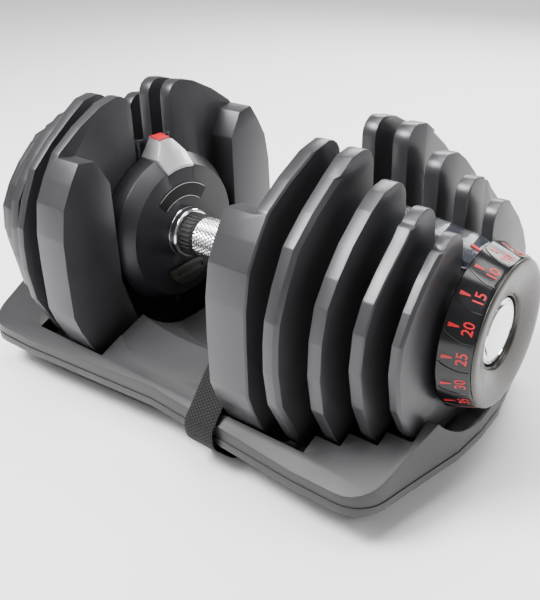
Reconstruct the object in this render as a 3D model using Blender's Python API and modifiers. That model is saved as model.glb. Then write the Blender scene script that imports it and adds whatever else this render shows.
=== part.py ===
"""Adjustable dumbbell in its storage tray.

Frame: the origin is on the ground under the middle of the tray, +X runs along the handle towards
the right dial, -Y is the front and +Z is up. Sizes are in metres. The handle's axis is AXIS_Z above
the ground, and everything that belongs to the dumbbell is drawn from that axis: a profile's points
are (x, radius) and a plate's outline points are (y, height above the axis).
The two ends are the same, so each end piece is made once, for the right, and its left twin shares
the mesh, turned half a turn about Z.
"""

import math

import bmesh
import bpy
from mathutils import Matrix, Vector

# ---- driving dimensions -------------------------------------------------------------------------
AXIS_Z = 0.112  # handle axis above the ground
GAP = 0.0003  # clearance between pieces that touch
ROUND_STEPS = 32  # sides of a turned piece
EDGE = 0.0008  # broken edge on cast and moulded parts

SHAFT_R = 0.0070
SHAFT_HALF = 0.2030
GRIP_R = 0.0167
GRIP_HALF = 0.0430
RING_X = (0.0433, 0.0547)  # fluted ring between the grip and the collar
RING_R = 0.0178
FLUTES = 18
COLLAR_X = (0.0550, 0.0637)
COLLAR_R = 0.0205

HOUSING_X = (0.0640, 0.0912)  # round end housing, face to back
HOUSING_FACE_R = 0.0550
HOUSING_R = 0.0635
WEDGE_R = (0.0535, 0.0640, 0.0745, 0.0765)  # raised segment: foot, knee, shoulder and crest
WEDGE_X = (0.0076, 0.0135)  # knee and shoulder, behind the housing's face
WEDGE_HALF = ((0.0500, 0.0142), (0.0625, 0.0158), (0.0745, 0.0062), (0.0800, 0.0062))  # height, half-width
LOCK_PLATE_R = 0.0370
LOCK_PLATE_ANGLE = math.radians(36)
LOCK_PLATE_HALF = 0.0095
LOCK_PLATE_THICK = 0.0015
LOCK_PIN_R = 0.0040
LOCK_PIN_X = 0.0830
LOCK_PIN_OUT = 0.0060  # how far the pin stands out of the housing
LOCK_BORE_TOP = -0.0260

BRIDGE_HALF = 0.0175
BRIDGE_WALL = 0.0020
BRIDGE_TOP = ((0.0916, 0.0760), (0.1260, 0.0620), (0.1860, 0.0535), (0.1950, 0.0500))
BRIDGE_FOOT = 0.0455

SLEEVE_R = 0.0135
SLEEVE_X = (0.0922, 0.1960)
SELECTOR_R = 0.0380  # outside of a selector disc's flange
SELECTOR_FLANGE = 0.0037
SELECTOR_CUT_R = 0.0300  # the disc's radius where its flange is cut away
SELECTOR_WEB = 0.0024
SELECTOR_WEB_X = (0.1070, 0.1325, 0.1560, 0.1770, 0.1935)
LUG = (0.0160, -0.0325, -0.0255)  # hook on a plate that a flange passes under: width, foot, top

DIAL_X = (0.1965, 0.2168)
DIAL_R = (0.0565, 0.0497)  # number ring's radius at each end
DIAL_FACETS = 17  # settings on the dial
CAP_FACE_X = 0.2188
CAP_CREST_R = (0.0468, 0.0435)
BADGE_R = 0.0225
BADGE_X = (0.2085, 0.2115)

SLOT_HALF = 0.0205  # half-width of the plates' slot, and the radius of its foot
LOBE_MID = 0.0330  # distance of a lobe's highest point from the middle
FOLD = 0.0455  # beyond this the plate's outer face slopes away to the rim
FOLD_SLOPE = 0.020
RIM_BEVEL = 0.0026
PAD_X = 0.0690  # inner face of plate 1's thick pads
PAD_BEVEL = 0.0035

# Each plate, from the middle outwards: its two faces, the height of its lobes, and the corners of
# half its outline from the lobe's crown to the foot.
PLATES = (
    (
        (0.0919, 0.1023),
        0.1135,
        (
            (0.049, 0.110), (0.071, 0.099), (0.092, 0.085), (0.103, 0.069), (0.112, 0.053),
            (0.1165, 0.0295), (0.1175, 0.004), (0.1175, -0.032), (0.113, -0.046),
            (0.103, -0.067), (0.094, -0.079), (0.080, -0.090), (0.062, -0.098),
        ),
    ),
    (
        (0.1160, 0.1272),
        0.1120,
        (
            (0.045, 0.110), (0.059, 0.101), (0.080, 0.086), (0.098, 0.070), (0.109, 0.049),
            (0.117, 0.029), (0.119, 0.014), (0.1195, -0.005), (0.116, -0.031),
            (0.099, -0.065), (0.090, -0.077), (0.077, -0.089), (0.060, -0.097),
        ),
    ),
    (
        (0.1406, 0.1510),
        0.0960,
        (
            (0.046, 0.094), (0.059, 0.086), (0.077, 0.071), (0.091, 0.055), (0.101, 0.040),
            (0.1065, 0.019), (0.108, -0.005), (0.104, -0.031), (0.089, -0.061),
            (0.076, -0.076), (0.058, -0.088),
        ),
    ),
    (
        (0.1628, 0.1724),
        0.0845,
        (
            (0.043, 0.0820), (0.0465, 0.0785), (0.0500, 0.0780), (0.056, 0.0715), (0.073, 0.057),
            (0.086, 0.044), (0.095, 0.027), (0.0985, 0.003), (0.094, -0.024),
            (0.083, -0.050), (0.070, -0.067), (0.053, -0.079),
        ),
    ),
    (
        (0.1838, 0.1914),
        0.0730,
        (
            (0.042, 0.0705), (0.0455, 0.0665), (0.0490, 0.0660), (0.053, 0.0625), (0.064, 0.053),
            (0.076, 0.039), (0.086, 0.022), (0.0885, 0.003), (0.084, -0.024),
            (0.073, -0.045), (0.061, -0.060), (0.045, -0.070),
        ),
    ),
)
# The region that plate 1's pads leave free: half its outline, from the foot round to the top.
PAD_CLEAR = (
    (0.0, -0.130), (0.054, -0.130), (0.056, -0.062), (0.068, -0.020), (0.068, 0.060),
    (0.079, 0.0800), (0.095, 0.0825), (0.140, 0.0825), (0.140, 0.140), (0.0, 0.140),
)

# The tray. Heights are above the ground.
DECK_EDGE_Z = 0.0400  # top of the deck at its front edge
DECK_SLOPE = 0.403  # rise of the deck towards the middle
DECK_TOP_Z = 0.0670  # height of the horns beside the dial
DECK_FOOT_Z = 0.0325
DECK_WALL = 0.0030
DECK_HALF = ((0.0, 0.1095), (0.080, 0.1150), (0.135, 0.1190), (0.1670, 0.1190))
DECK_CORNER_R = 0.0240
DECK_CORNER_END = 10  # degrees from +x at which the corner's arc stops
DECK_BOW = ((0.1957, 0.0820), (0.2005, 0.0580), (0.2063, 0.0300), (0.2080, 0.0))  # the bowed end
WELLS = (  # inner x, outer x, half-width of each step of the well
    (0.0590, 0.1350, 0.1050),
    (0.1320, 0.1540, 0.0915),
    (0.1500, 0.1752, 0.0812),
    (0.1720, 0.1935, 0.0705),
)
DIAL_NOTCH_R = 0.0700
BOWL_R = 0.0845  # radius of the hand bowl about the handle, in the middle
BOWL_FLOOR_Z = 0.0360
BOWL_NARROWING = 1.8  # how much the bowl closes towards the wells, per metre
SCOOP_R = 0.1160  # the shallow scoop in front of the bowl
SCOOP_Y = 0.0990  # its foremost point
SCOOP_SLOPE = 0.340

PAN_LIP = (0.0262, 0.0322)  # the lip under the deck's edge
PAN_LIP_OUT = 0.0006
PAN_INSET = (0.0120, 0.0210)  # skirt, under the lip and at its foot
PAN_FOOT_Z = 0.0040
PAN_WALL = 0.0030
CRADLE_Y = (0.030, 0.044)  # a cradle block stands under each half of a plate
CRADLE_FOOT_Z = 0.0240  # the outermost cradles spring from the pan's end wall
CRADLE_END_X = 0.1890
FOOT_R = 0.0080
FOOT_XY = (0.1620, 0.0760)

STRAP_X = 0.0565  # middle of the strap at the tray's lip
STRAP_LEAN = 0.16  # how far it leans towards the grip as it rises
STRAP_LEAN_FROM = 0.045
STRAP_WIDTH = 0.0260
STRAP_THICK = 0.0016

# ---- colours: red, green, blue, roughness, metallic -----------------------------------------------
FINISHES = {
    "cast_plate": (0.055, 0.055, 0.060, 0.48, 0.35),
    "housing": (0.030, 0.030, 0.034, 0.55, 0.0),
    "silver_plastic": (0.42, 0.42, 0.44, 0.38, 0.3),
    "tray": (0.070, 0.070, 0.075, 0.62, 0.0),
    "dial_black": (0.020, 0.020, 0.022, 0.30, 0.0),
    "cap_grey": (0.22, 0.21, 0.21, 0.42, 0.4),
    "chrome": (0.80, 0.80, 0.82, 0.10, 1.0),
    "steel": (0.45, 0.45, 0.47, 0.32, 1.0),
    "rubber": (0.015, 0.015, 0.016, 0.80, 0.0),
    "webbing": (0.012, 0.012, 0.013, 0.85, 0.0),
    "clear": (0.55, 0.58, 0.66, 0.08, 0.0),
    "red_mark": (0.65, 0.02, 0.03, 0.45, 0.0),
}


# ---- helpers ----------------------------------------------------------------------------------------
def clear_scene():
    """Remove every object and collection of the open scene."""
    for obj in list(bpy.data.objects):
        bpy.data.objects.remove(obj, do_unlink=True)
    for collection in list(bpy.data.collections):
        bpy.data.collections.remove(collection)


def make_collection(name):
    """A new collection in the scene."""
    collection = bpy.data.collections.new(name)
    bpy.context.scene.collection.children.link(collection)
    return collection


def make_material(name):
    """A Principled material of one of FINISHES."""
    red, green, blue, roughness, metallic = FINISHES[name]
    material = bpy.data.materials.new(name)
    material.use_nodes = True
    shader = material.node_tree.nodes["Principled BSDF"]
    shader.inputs["Base Color"].default_value = (red, green, blue, 1.0)
    shader.inputs["Roughness"].default_value = roughness
    shader.inputs["Metallic"].default_value = metallic
    if name == "clear":
        shader.inputs["Alpha"].default_value = 0.35
    return material


def new_object(name, data, collection):
    """An object of this mesh or curve, linked to a collection."""
    obj = bpy.data.objects.new(name, data)
    collection.objects.link(obj)
    return obj


def evaluated_mesh(obj, name):
    """A plain mesh of the object with its modifiers applied and its matrix baked in."""
    bpy.context.view_layer.update()
    graph = bpy.context.evaluated_depsgraph_get()
    mesh = bpy.data.meshes.new_from_object(obj.evaluated_get(graph), depsgraph=graph)
    mesh.name = name
    mesh.transform(obj.matrix_world)
    return mesh


def baked(obj):
    """The object as a plain mesh at the origin, its modifiers applied."""
    mesh = evaluated_mesh(obj, obj.name)
    name = obj.name
    collection = obj.users_collection[0]
    bpy.data.objects.remove(obj, do_unlink=True)
    graph = bmesh.new()
    graph.from_mesh(mesh)
    bmesh.ops.remove_doubles(graph, verts=graph.verts, dist=1e-6)
    graph.to_mesh(mesh)
    graph.free()
    return new_object(name, mesh, collection)


def facing_out(obj):
    """Turn the faces of a closed mesh outwards."""
    graph = bmesh.new()
    graph.from_mesh(obj.data)
    bmesh.ops.recalc_face_normals(graph, faces=graph.faces)
    graph.to_mesh(obj.data)
    graph.free()
    return obj


def mirrored_outline(half):
    """A closed outline from its half at y >= 0, which starts and ends at y = 0."""
    other = [(-y, z) for y, z in reversed(half) if y > 1e-9]
    return list(half) + other


def arc(centre, radius, start, end, steps):
    """Points of an arc; the angles are in degrees from +y towards +z."""
    turns = [math.radians(start + (end - start) * i / steps) for i in range(steps + 1)]
    return [(centre[0] + radius * math.cos(t), centre[1] + radius * math.sin(t)) for t in turns]


def extruded(name, outline, low, high, axis, collection):
    """A flat outline filled and drawn out along X, Y or Z, from low to high."""
    curve = bpy.data.curves.new(name, "CURVE")
    curve.dimensions = "2D"
    curve.fill_mode = "BOTH"
    curve.extrude = (high - low) / 2
    spline = curve.splines.new("POLY")
    spline.points.add(len(outline) - 1)
    for point, (first, second) in zip(spline.points, outline):
        point.co = (first, second, 0.0, 1.0)
    spline.use_cyclic_u = True
    obj = new_object(name, curve, collection)
    turned = {
        "X": Matrix(((0, 0, 1), (1, 0, 0), (0, 1, 0))),
        "Y": Matrix(((1, 0, 0), (0, 0, -1), (0, 1, 0))),
        "Z": Matrix.Identity(3),
    }[axis]
    middle = (high + low) / 2
    shift = {"X": (middle, 0, 0), "Y": (0, middle, 0), "Z": (0, 0, middle)}[axis]
    obj.matrix_world = Matrix.Translation(shift) @ turned.to_4x4()
    return facing_out(baked(obj))


def turned(name, profile, collection, steps=ROUND_STEPS):
    """A solid turned about the handle's axis from a closed profile of (x, radius) points."""
    mesh = bpy.data.meshes.new(name)
    graph = bmesh.new()
    corners = [graph.verts.new((x, radius, 0.0)) for x, radius in profile]
    for first, second in zip(corners, corners[1:] + corners[:1]):
        graph.edges.new((first, second))
    graph.to_mesh(mesh)
    graph.free()
    obj = new_object(name, mesh, collection)
    screw = obj.modifiers.new("Turn", "SCREW")
    screw.axis = "X"
    screw.steps = steps
    screw.render_steps = steps
    screw.use_merge_vertices = True
    screw.merge_threshold = 1e-5
    return facing_out(baked(obj))


def box(name, low, high, collection):
    """A plain block between two corners."""
    mesh = bpy.data.meshes.new(name)
    graph = bmesh.new()
    bmesh.ops.create_cube(graph, size=1.0)
    size = Vector(high) - Vector(low)
    middle = (Vector(high) + Vector(low)) / 2
    bmesh.ops.scale(graph, vec=size, verts=graph.verts)
    bmesh.ops.translate(graph, vec=middle, verts=graph.verts)
    graph.to_mesh(mesh)
    graph.free()
    return new_object(name, mesh, collection)


def cylinder(name, radius, low, high, collection, steps=24, axis="Z"):
    """A cylinder between two points on a line along X or Z."""
    mesh = bpy.data.meshes.new(name)
    graph = bmesh.new()
    length = (Vector(high) - Vector(low)).length
    bmesh.ops.create_cone(
        graph, cap_ends=True, segments=steps, radius1=radius, radius2=radius, depth=length
    )
    if axis == "X":
        bmesh.ops.rotate(graph, matrix=Matrix.Rotation(math.pi / 2, 3, "Y"), verts=graph.verts)
    bmesh.ops.translate(graph, vec=(Vector(high) + Vector(low)) / 2, verts=graph.verts)
    graph.to_mesh(mesh)
    graph.free()
    return new_object(name, mesh, collection)


def combine(obj, tool, operation, collections):
    """Boolean with a tool, which moves to the cutters' collection and stays hidden."""
    for collection in list(tool.users_collection):
        collection.objects.unlink(tool)
    collections["cutters"].objects.link(tool)
    tool.hide_render = True
    tool.display_type = "WIRE"
    modifier = obj.modifiers.new(operation.title(), "BOOLEAN")
    modifier.operation = operation
    modifier.solver = "EXACT"
    modifier.use_self = True
    modifier.object = tool
    return obj


def break_edges(obj, width=EDGE, angle=40):
    """A one-step bevel on the edges sharper than the angle."""
    bevel = obj.modifiers.new("Edges", "BEVEL")
    bevel.width = width
    bevel.segments = 1
    bevel.limit_method = "ANGLE"
    bevel.angle_limit = math.radians(angle)
    return obj


def finished(obj, material, parent=None, smooth=35):
    """Bake the piece, give it its material and hang it on its parent."""
    obj = baked(obj)
    obj.data.shade_smooth()
    obj.data.set_sharp_from_angle(angle=math.radians(smooth))
    obj.data.materials.clear()
    obj.data.materials.append(material)
    obj.parent = parent
    return obj


def both_ends(obj, collections, frames):
    """Name the right piece and add its left twin, turned half a turn about Z."""
    stem = obj.name
    parts = collections["parts"]
    obj.name = f"{stem}_right" if "{}" not in stem else stem.format("right")
    obj.parent = frames["right"]
    left_name = f"{stem}_left" if "{}" not in stem else stem.format("left")
    left = new_object(left_name, obj.data, parts)
    left.parent = frames["left"]
    return obj


# ---- the dumbbell -----------------------------------------------------------------------------------
def make_handle(collections, materials, frames):
    """Shaft, grip, fluted rings and collars."""
    parts = collections["parts"]
    shaft = cylinder("shaft", SHAFT_R, (-SHAFT_HALF, 0, 0), (SHAFT_HALF, 0, 0), parts, axis="X")
    finished(break_edges(shaft), materials["steel"], frames["middle"])

    bore = SHAFT_R + GAP
    grip = turned(
        "grip_bar",
        ((-GRIP_HALF, bore), (-GRIP_HALF, GRIP_R), (GRIP_HALF, GRIP_R), (GRIP_HALF, bore)),
        parts,
    )
    finished(break_edges(grip), materials["steel"], frames["middle"])

    low, high = RING_X
    ring = turned("ribbed_ring", ((low, bore), (low, RING_R), (high, RING_R), (high, bore)), parts)
    flute_r = 0.0013
    for i in range(FLUTES):
        turn = 2 * math.pi * i / FLUTES
        centre = (RING_R * math.sin(turn), RING_R * math.cos(turn))
        flute = cylinder(
            f"flute_{i}",
            flute_r,
            (low - 0.002, *centre),
            (high + 0.002, *centre),
            parts,
            steps=6,
            axis="X",
        )
        combine(ring, flute, "DIFFERENCE", collections)
    both_ends(finished(ring, materials["rubber"]), collections, frames)

    low, high = COLLAR_X
    round_edge = 0.0018
    collar = turned(
        "collar",
        (
            (low, bore),
            (low, COLLAR_R - round_edge),
            (low + round_edge * 0.3, COLLAR_R - round_edge * 0.3),
            (low + round_edge, COLLAR_R),
            (high, COLLAR_R),
            (high, bore),
        ),
        parts,
    )
    both_ends(finished(collar, materials["chrome"]), collections, frames)


def sector(name, inner, outer, low, high, start, end, steps, collection):
    """A ring sector drawn along X; the angles are in degrees from +y towards +z."""
    outline = arc((0, 0), inner, start, end, steps) + arc((0, 0), outer, end, start, steps)
    return extruded(name, outline, low, high, "X", collection)


def wedge_outline(name, grown, collection):
    """The wedge's sides as seen along the handle, drawn along X."""
    half = [(y + grown, z) for z, y in WEDGE_HALF]
    outline = half + [(-y, z) for y, z in reversed(half)]
    return extruded(name, outline, 0.05, 0.11, "X", collection)


def make_housing(collections, materials, frames):
    """End housing with its raised wedge, lock plate, lock pin and spring."""
    parts = collections["parts"]
    bore = SHAFT_R + GAP
    face, back = HOUSING_X
    cone_end = face + 0.0115
    housing = turned(
        "housing",
        (
            (face, bore),
            (face, HOUSING_FACE_R),
            (cone_end, HOUSING_R),
            (back, HOUSING_R),
            (back, bore),
        ),
        parts,
        steps=48,
    )
    seat = sector("wedge_seat", WEDGE_R[0] - GAP, 0.1, 0.05, 0.11, 60, 120, 12, parts)
    seat = baked(combine(seat, wedge_outline("seat_sides", GAP, parts), "INTERSECT", collections))
    combine(housing, seat, "DIFFERENCE", collections)
    bore_tool = cylinder(
        "lock_bore", LOCK_PIN_R + 0.0004, (LOCK_PIN_X, 0, -0.08), (LOCK_PIN_X, 0, LOCK_BORE_TOP), parts
    )
    combine(housing, bore_tool, "DIFFERENCE", collections)
    both_ends(finished(housing, materials["housing"]), collections, frames)

    wedge = turned(
        "wedge",
        (
            (face - GAP, WEDGE_R[0]),
            (face - GAP, HOUSING_FACE_R + 0.0005),
            (face + WEDGE_X[0], WEDGE_R[1]),
            (face + WEDGE_X[1], WEDGE_R[2]),
            (back, WEDGE_R[3]),
            (back, WEDGE_R[0]),
        ),
        parts,
        steps=48,
    )
    keep = wedge_outline("wedge_sides", 0.0, parts)
    combine(wedge, keep, "INTERSECT", collections)
    both_ends(finished(wedge, materials["silver_plastic"]), collections, frames)

    half = math.degrees(LOCK_PLATE_ANGLE)
    steps = 12
    turns = [-90 - half + 2 * half * i / steps for i in range(steps + 1)]
    bulge = [LOCK_PLATE_HALF * math.cos(math.pi / 2 * (t + 90) / half) ** 0.6 if abs(t + 90) < half
             else 0.0008 for t in turns]
    outer = [arc((0, 0), LOCK_PLATE_R + b, t, t, 1)[0] for t, b in zip(turns, bulge)]
    inner = [arc((0, 0), LOCK_PLATE_R - b, t, t, 1)[0] for t, b in zip(turns, bulge)]
    high = face - GAP
    plate = extruded(
        "lock_plate", outer + inner[::-1], high - LOCK_PLATE_THICK, high, "X", parts
    )
    for y in (-0.0135, 0.0135):
        centre = (y, -LOCK_PLATE_R + 0.002)
        hole = cylinder(
            "plate_hole", 0.0018, (high - 0.005, *centre), (high + 0.005, *centre), parts, 12, "X"
        )
        combine(plate, hole, "DIFFERENCE", collections)
    both_ends(finished(plate, materials["housing"]), collections, frames)

    foot = -HOUSING_R - LOCK_PIN_OUT
    pin_top = LOCK_BORE_TOP - 0.022
    pin = cylinder("lock_pin", LOCK_PIN_R, (LOCK_PIN_X, 0, foot), (LOCK_PIN_X, 0, pin_top), parts, 16)
    both_ends(finished(break_edges(pin), materials["steel"]), collections, frames)
    make_lock_spring(collections, materials, frames, pin_top + GAP, LOCK_BORE_TOP - GAP)


def make_lock_spring(collections, materials, frames, low, high):
    """A coil spring in the lock bore, above the pin."""
    wire = 0.0005
    coils = 6
    per_coil = 8
    radius = 0.0030
    rise = high - low - 2 * wire
    curve = bpy.data.curves.new("lock_spring", "CURVE")
    curve.dimensions = "3D"
    curve.bevel_depth = wire
    curve.bevel_resolution = 1
    curve.use_fill_caps = True
    spline = curve.splines.new("POLY")
    count = coils * per_coil + 1
    spline.points.add(count - 1)
    for i, point in enumerate(spline.points):
        turn = 2 * math.pi * i / per_coil
        point.co = (
            LOCK_PIN_X + radius * math.cos(turn),
            radius * math.sin(turn),
            low + wire + rise * i / (count - 1),
            1.0,
        )
    spring = new_object("lock_spring", curve, collections["parts"])
    both_ends(finished(spring, materials["steel"]), collections, frames)


def make_bridge(collections, materials, frames):
    """Clear bridge over the selector discs, with its pointer."""
    parts = collections["parts"]
    top = list(BRIDGE_TOP)
    foot = [(top[-1][0], BRIDGE_FOOT), (top[0][0], BRIDGE_FOOT)]
    outline = [(x, z) for x, z in reversed(top + foot)]
    bridge = extruded("bridge", outline, -BRIDGE_HALF, BRIDGE_HALF, "Y", parts)
    inside = [(x, z - BRIDGE_WALL) for x, z in top]
    inside[0] = (0.080, inside[0][1] + 0.0045)
    end_x = top[-1][0] - BRIDGE_WALL
    inside[-1] = (end_x, inside[-1][1] + 0.0008)
    hollow_outline = list(reversed(inside + [(end_x, 0.03), (0.080, 0.03)]))
    inner_half = BRIDGE_HALF - BRIDGE_WALL
    hollow = extruded("bridge_hollow", hollow_outline, -inner_half, inner_half, "Y", parts)
    combine(bridge, hollow, "DIFFERENCE", collections)
    both_ends(finished(bridge, materials["clear"]), collections, frames)

    (x0, z0), (x1, z1) = top[2], top[3]
    lift = GAP
    thick = 0.0008
    slope = (z1 - z0) / (x1 - x0)
    tip, tail = x1 - 0.0002, x0 + 0.0008
    side = [
        (tip, z1 + lift), (tip, z1 + lift + thick),
        (tail, z1 + lift + thick - slope * (tip - tail)), (tail, z1 + lift - slope * (tip - tail)),
    ]
    pointer = extruded("pointer", side, -0.0045, 0.0045, "Y", parts)
    both_ends(finished(pointer, materials["red_mark"]), collections, frames)


def make_selectors(collections, materials, frames):
    """Sleeve on the shaft and the five flanged discs that it turns."""
    parts = collections["parts"]
    low, high = SLEEVE_X
    bore = SHAFT_R + GAP
    sleeve = turned("dial_sleeve", ((low, bore), (low, SLEEVE_R), (high, SLEEVE_R), (high, bore)), parts, 24)
    both_ends(finished(sleeve, materials["steel"]), collections, frames)

    for number, (web, plate) in enumerate(zip(SELECTOR_WEB_X, PLATES), start=1):
        flange_start = plate[0][1] + 0.0008
        web_end = web + SELECTOR_WEB
        inner = SELECTOR_R - SELECTOR_FLANGE
        disc = turned(
            f"selector_{{}}_{number}",
            (
                (web, SLEEVE_R + GAP),
                (web, inner),
                (flange_start, inner),
                (flange_start, SELECTOR_R),
                (web_end, SELECTOR_R),
                (web_end, SLEEVE_R + GAP),
            ),
            parts,
            steps=28,
        )
        half = 40 + 12 * number
        cut = sector(
            "flange_cut", SELECTOR_CUT_R, 0.05, flange_start - 0.002, web_end + 0.002,
            90 - half, 90 + half, 8, parts,
        )
        combine(disc, cut, "DIFFERENCE", collections)
        both_ends(finished(disc, materials["steel"]), collections, frames)


def make_dial(collections, materials, frames):
    """Number ring, cap, badge and the shaft's end nut."""
    parts = collections["parts"]
    low, high = DIAL_X
    turns = DIAL_FACETS * 2
    ring = turned(
        "dial",
        ((low, SHAFT_R + GAP), (low, DIAL_R[0]), (high, DIAL_R[1]), (high, 0.0472), (0.2090, 0.0460),
         (0.2020, 0.0140), (0.2020, SHAFT_R + GAP)),
        parts,
        steps=turns,
    )
    ring.data.transform(Matrix.Rotation(math.pi / 2 + math.pi / DIAL_FACETS, 4, "X"))
    for vertex in ring.data.vertices:
        radius = math.hypot(vertex.co.y, vertex.co.z)
        if radius < DIAL_R[1] - 0.002:
            continue
        turn = math.atan2(vertex.co.y, vertex.co.z)
        facet = turn * DIAL_FACETS / (2 * math.pi)
        if abs(facet - round(facet)) > 0.25:
            continue
        hollow = 1 - 0.0006 / radius
        vertex.co.y *= hollow
        vertex.co.z *= hollow
    both_ends(finished(ring, materials["dial_black"], smooth=8), collections, frames)

    cap = turned(
        "dial_cap",
        (
            (high + GAP, 0.0468),
            (high + GAP, DIAL_R[1] - 0.0003),
            (high + 0.0010, DIAL_R[1] - 0.0010),
            (CAP_FACE_X, CAP_CREST_R[0]),
            (CAP_FACE_X, CAP_CREST_R[1]),
            (0.2138, 0.0262),
            (0.2125, 0.0237),
            (BADGE_X[0], 0.0237),
            (0.2080, 0.0350),
            (0.2120, 0.0450),
        ),
        parts,
        steps=36,
    )
    both_ends(finished(cap, materials["cap_grey"]), collections, frames)

    nut_high = SHAFT_HALF + 0.0045
    nut = cylinder("end_nut", 0.0110, (SHAFT_HALF + GAP, 0, 0), (nut_high - GAP, 0, 0), parts, 6, "X")
    nut.data.transform(Matrix.Translation((0.0008, 0, 0)))
    both_ends(finished(nut, materials["steel"]), collections, frames)

    badge = turned(
        "badge",
        (
            (BADGE_X[0] + GAP, 0.0),
            (BADGE_X[0] + GAP, BADGE_R),
            (BADGE_X[1] - 0.0008, BADGE_R),
            (BADGE_X[1], BADGE_R - 0.0010),
            (BADGE_X[1] + 0.0004, 0.0),
        ),
        parts,
        steps=36,
    )
    both_ends(finished(badge, materials["chrome"]), collections, frames)


def plate_outline(crown, corners):
    """The closed outline of a plate: its slot, the round of its lobes and its corners."""
    round_r = LOBE_MID - SLOT_HALF
    foot = arc((0, 0), SLOT_HALF, -90, 0, 5)
    lobe = arc((LOBE_MID, crown - round_r), round_r, 180, 90, 4)
    last = (0.0, corners[-1][1])
    return mirrored_outline(foot + lobe + list(corners) + [last])


def fold_faces(mesh, low, high):
    """Fold the outer face at y = +-FOLD, so that it slopes away to the rim."""
    graph = bmesh.new()
    graph.from_mesh(mesh)
    for side in (-1, 1):
        everything = graph.verts[:] + graph.edges[:] + graph.faces[:]
        bmesh.ops.bisect_plane(graph, geom=everything, plane_co=(0, side * FOLD, 0), plane_no=(0, 1, 0))
    for vertex in graph.verts:
        beyond = abs(vertex.co.y) - FOLD
        if vertex.co.x > (low + high) / 2 and beyond > 0:
            vertex.co.x -= FOLD_SLOPE * beyond
    bmesh.ops.dissolve_limit(
        graph, angle_limit=math.radians(0.3), verts=graph.verts, edges=graph.edges
    )
    rim = [
        edge
        for edge in graph.edges
        if all(v.co.x > (low + high) / 2 for v in edge.verts)
        and edge.calc_face_angle(0) > math.radians(60)
    ]
    wide = [e for e in rim if min(abs(v.co.y) for v in e.verts) > FOLD]
    bmesh.ops.bevel(
        graph, geom=wide, offset=RIM_BEVEL, segments=1, affect="EDGES", profile=0.5, clamp_overlap=True
    )
    graph.to_mesh(mesh)
    graph.free()


def make_plates(collections, materials, frames):
    """The ten weight plates, each hooked by a lug on its outer face."""
    parts = collections["parts"]
    for number, ((low, high), crown, corners) in enumerate(PLATES, start=1):
        inner = PAD_X if number == 1 else low
        plate = extruded(
            f"plate_{{}}_{number}", plate_outline(crown, corners), inner, high, "X", parts
        )
        if number == 1:
            clear = extruded("pad_clear", mirrored_outline(PAD_CLEAR), 0.05, low, "X", parts)
            combine(plate, clear, "DIFFERENCE", collections)
        width, foot, top = LUG
        lug_end = SELECTOR_WEB_X[number - 1] - 0.0006
        lug = box("lug", (high - 0.003, -width / 2, foot), (lug_end, width / 2, top), parts)
        combine(plate, lug, "UNION", collections)
        plate = baked(plate)
        fold_faces(plate.data, low, high)
        break_edges(plate, EDGE, 50)
        both_ends(finished(plate, materials["cast_plate"], smooth=25), collections, frames)


# ---- the tray ---------------------------------------------------------------------------------------
def deck_outline(inset=0.0):
    """The tray's plan: waisted sides, round corners and bowed ends, as a closed (x, y) outline."""
    half = [(x, y - inset) for x, y in DECK_HALF]
    radius = DECK_CORNER_R - min(inset, DECK_CORNER_R - 0.004)
    bow = [(x - inset, y) for x, y in DECK_BOW]
    reach = DECK_HALF[-1][0] + DECK_CORNER_R * 1.08 - inset
    centre = (reach - radius, half[-1][1] - radius)
    corner = arc(centre, radius, 90, DECK_CORNER_END, 6)
    quarter = half + corner[1:] + bow[:-1]
    front = [(x, -y) for x, y in quarter]
    right = front + [bow[-1]] + quarter[::-1]
    left = [(-x, y) for x, y in reversed(right) if x > 1e-9]
    return right + left


def deck_profile():
    """The deck's cross-section, as a closed (y, z) outline with a ridge hidden by the wells."""
    reach = 0.14
    drop = DECK_SLOPE * (reach - 0.119)
    ridge_y = 0.119 - (DECK_TOP_Z - DECK_EDGE_Z) / DECK_SLOPE
    half = [(0.0, 0.0), (reach, 0.0), (reach, DECK_EDGE_Z - drop), (ridge_y, DECK_TOP_Z), (0.0, DECK_TOP_Z)]
    return mirrored_outline(half)


def bowl_profile(outer_clear):
    """The hand bowl about the handle: closed (x, radius) profile, grown by outer_clear."""
    reach = 0.066
    count = 8
    points = []
    for i in range(count + 1):
        x = -reach + 2 * reach * i / count
        points.append((x, BOWL_R + outer_clear - BOWL_NARROWING * x * x))
    return [(-reach, 0.0), *points, (reach, 0.0)]


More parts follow.
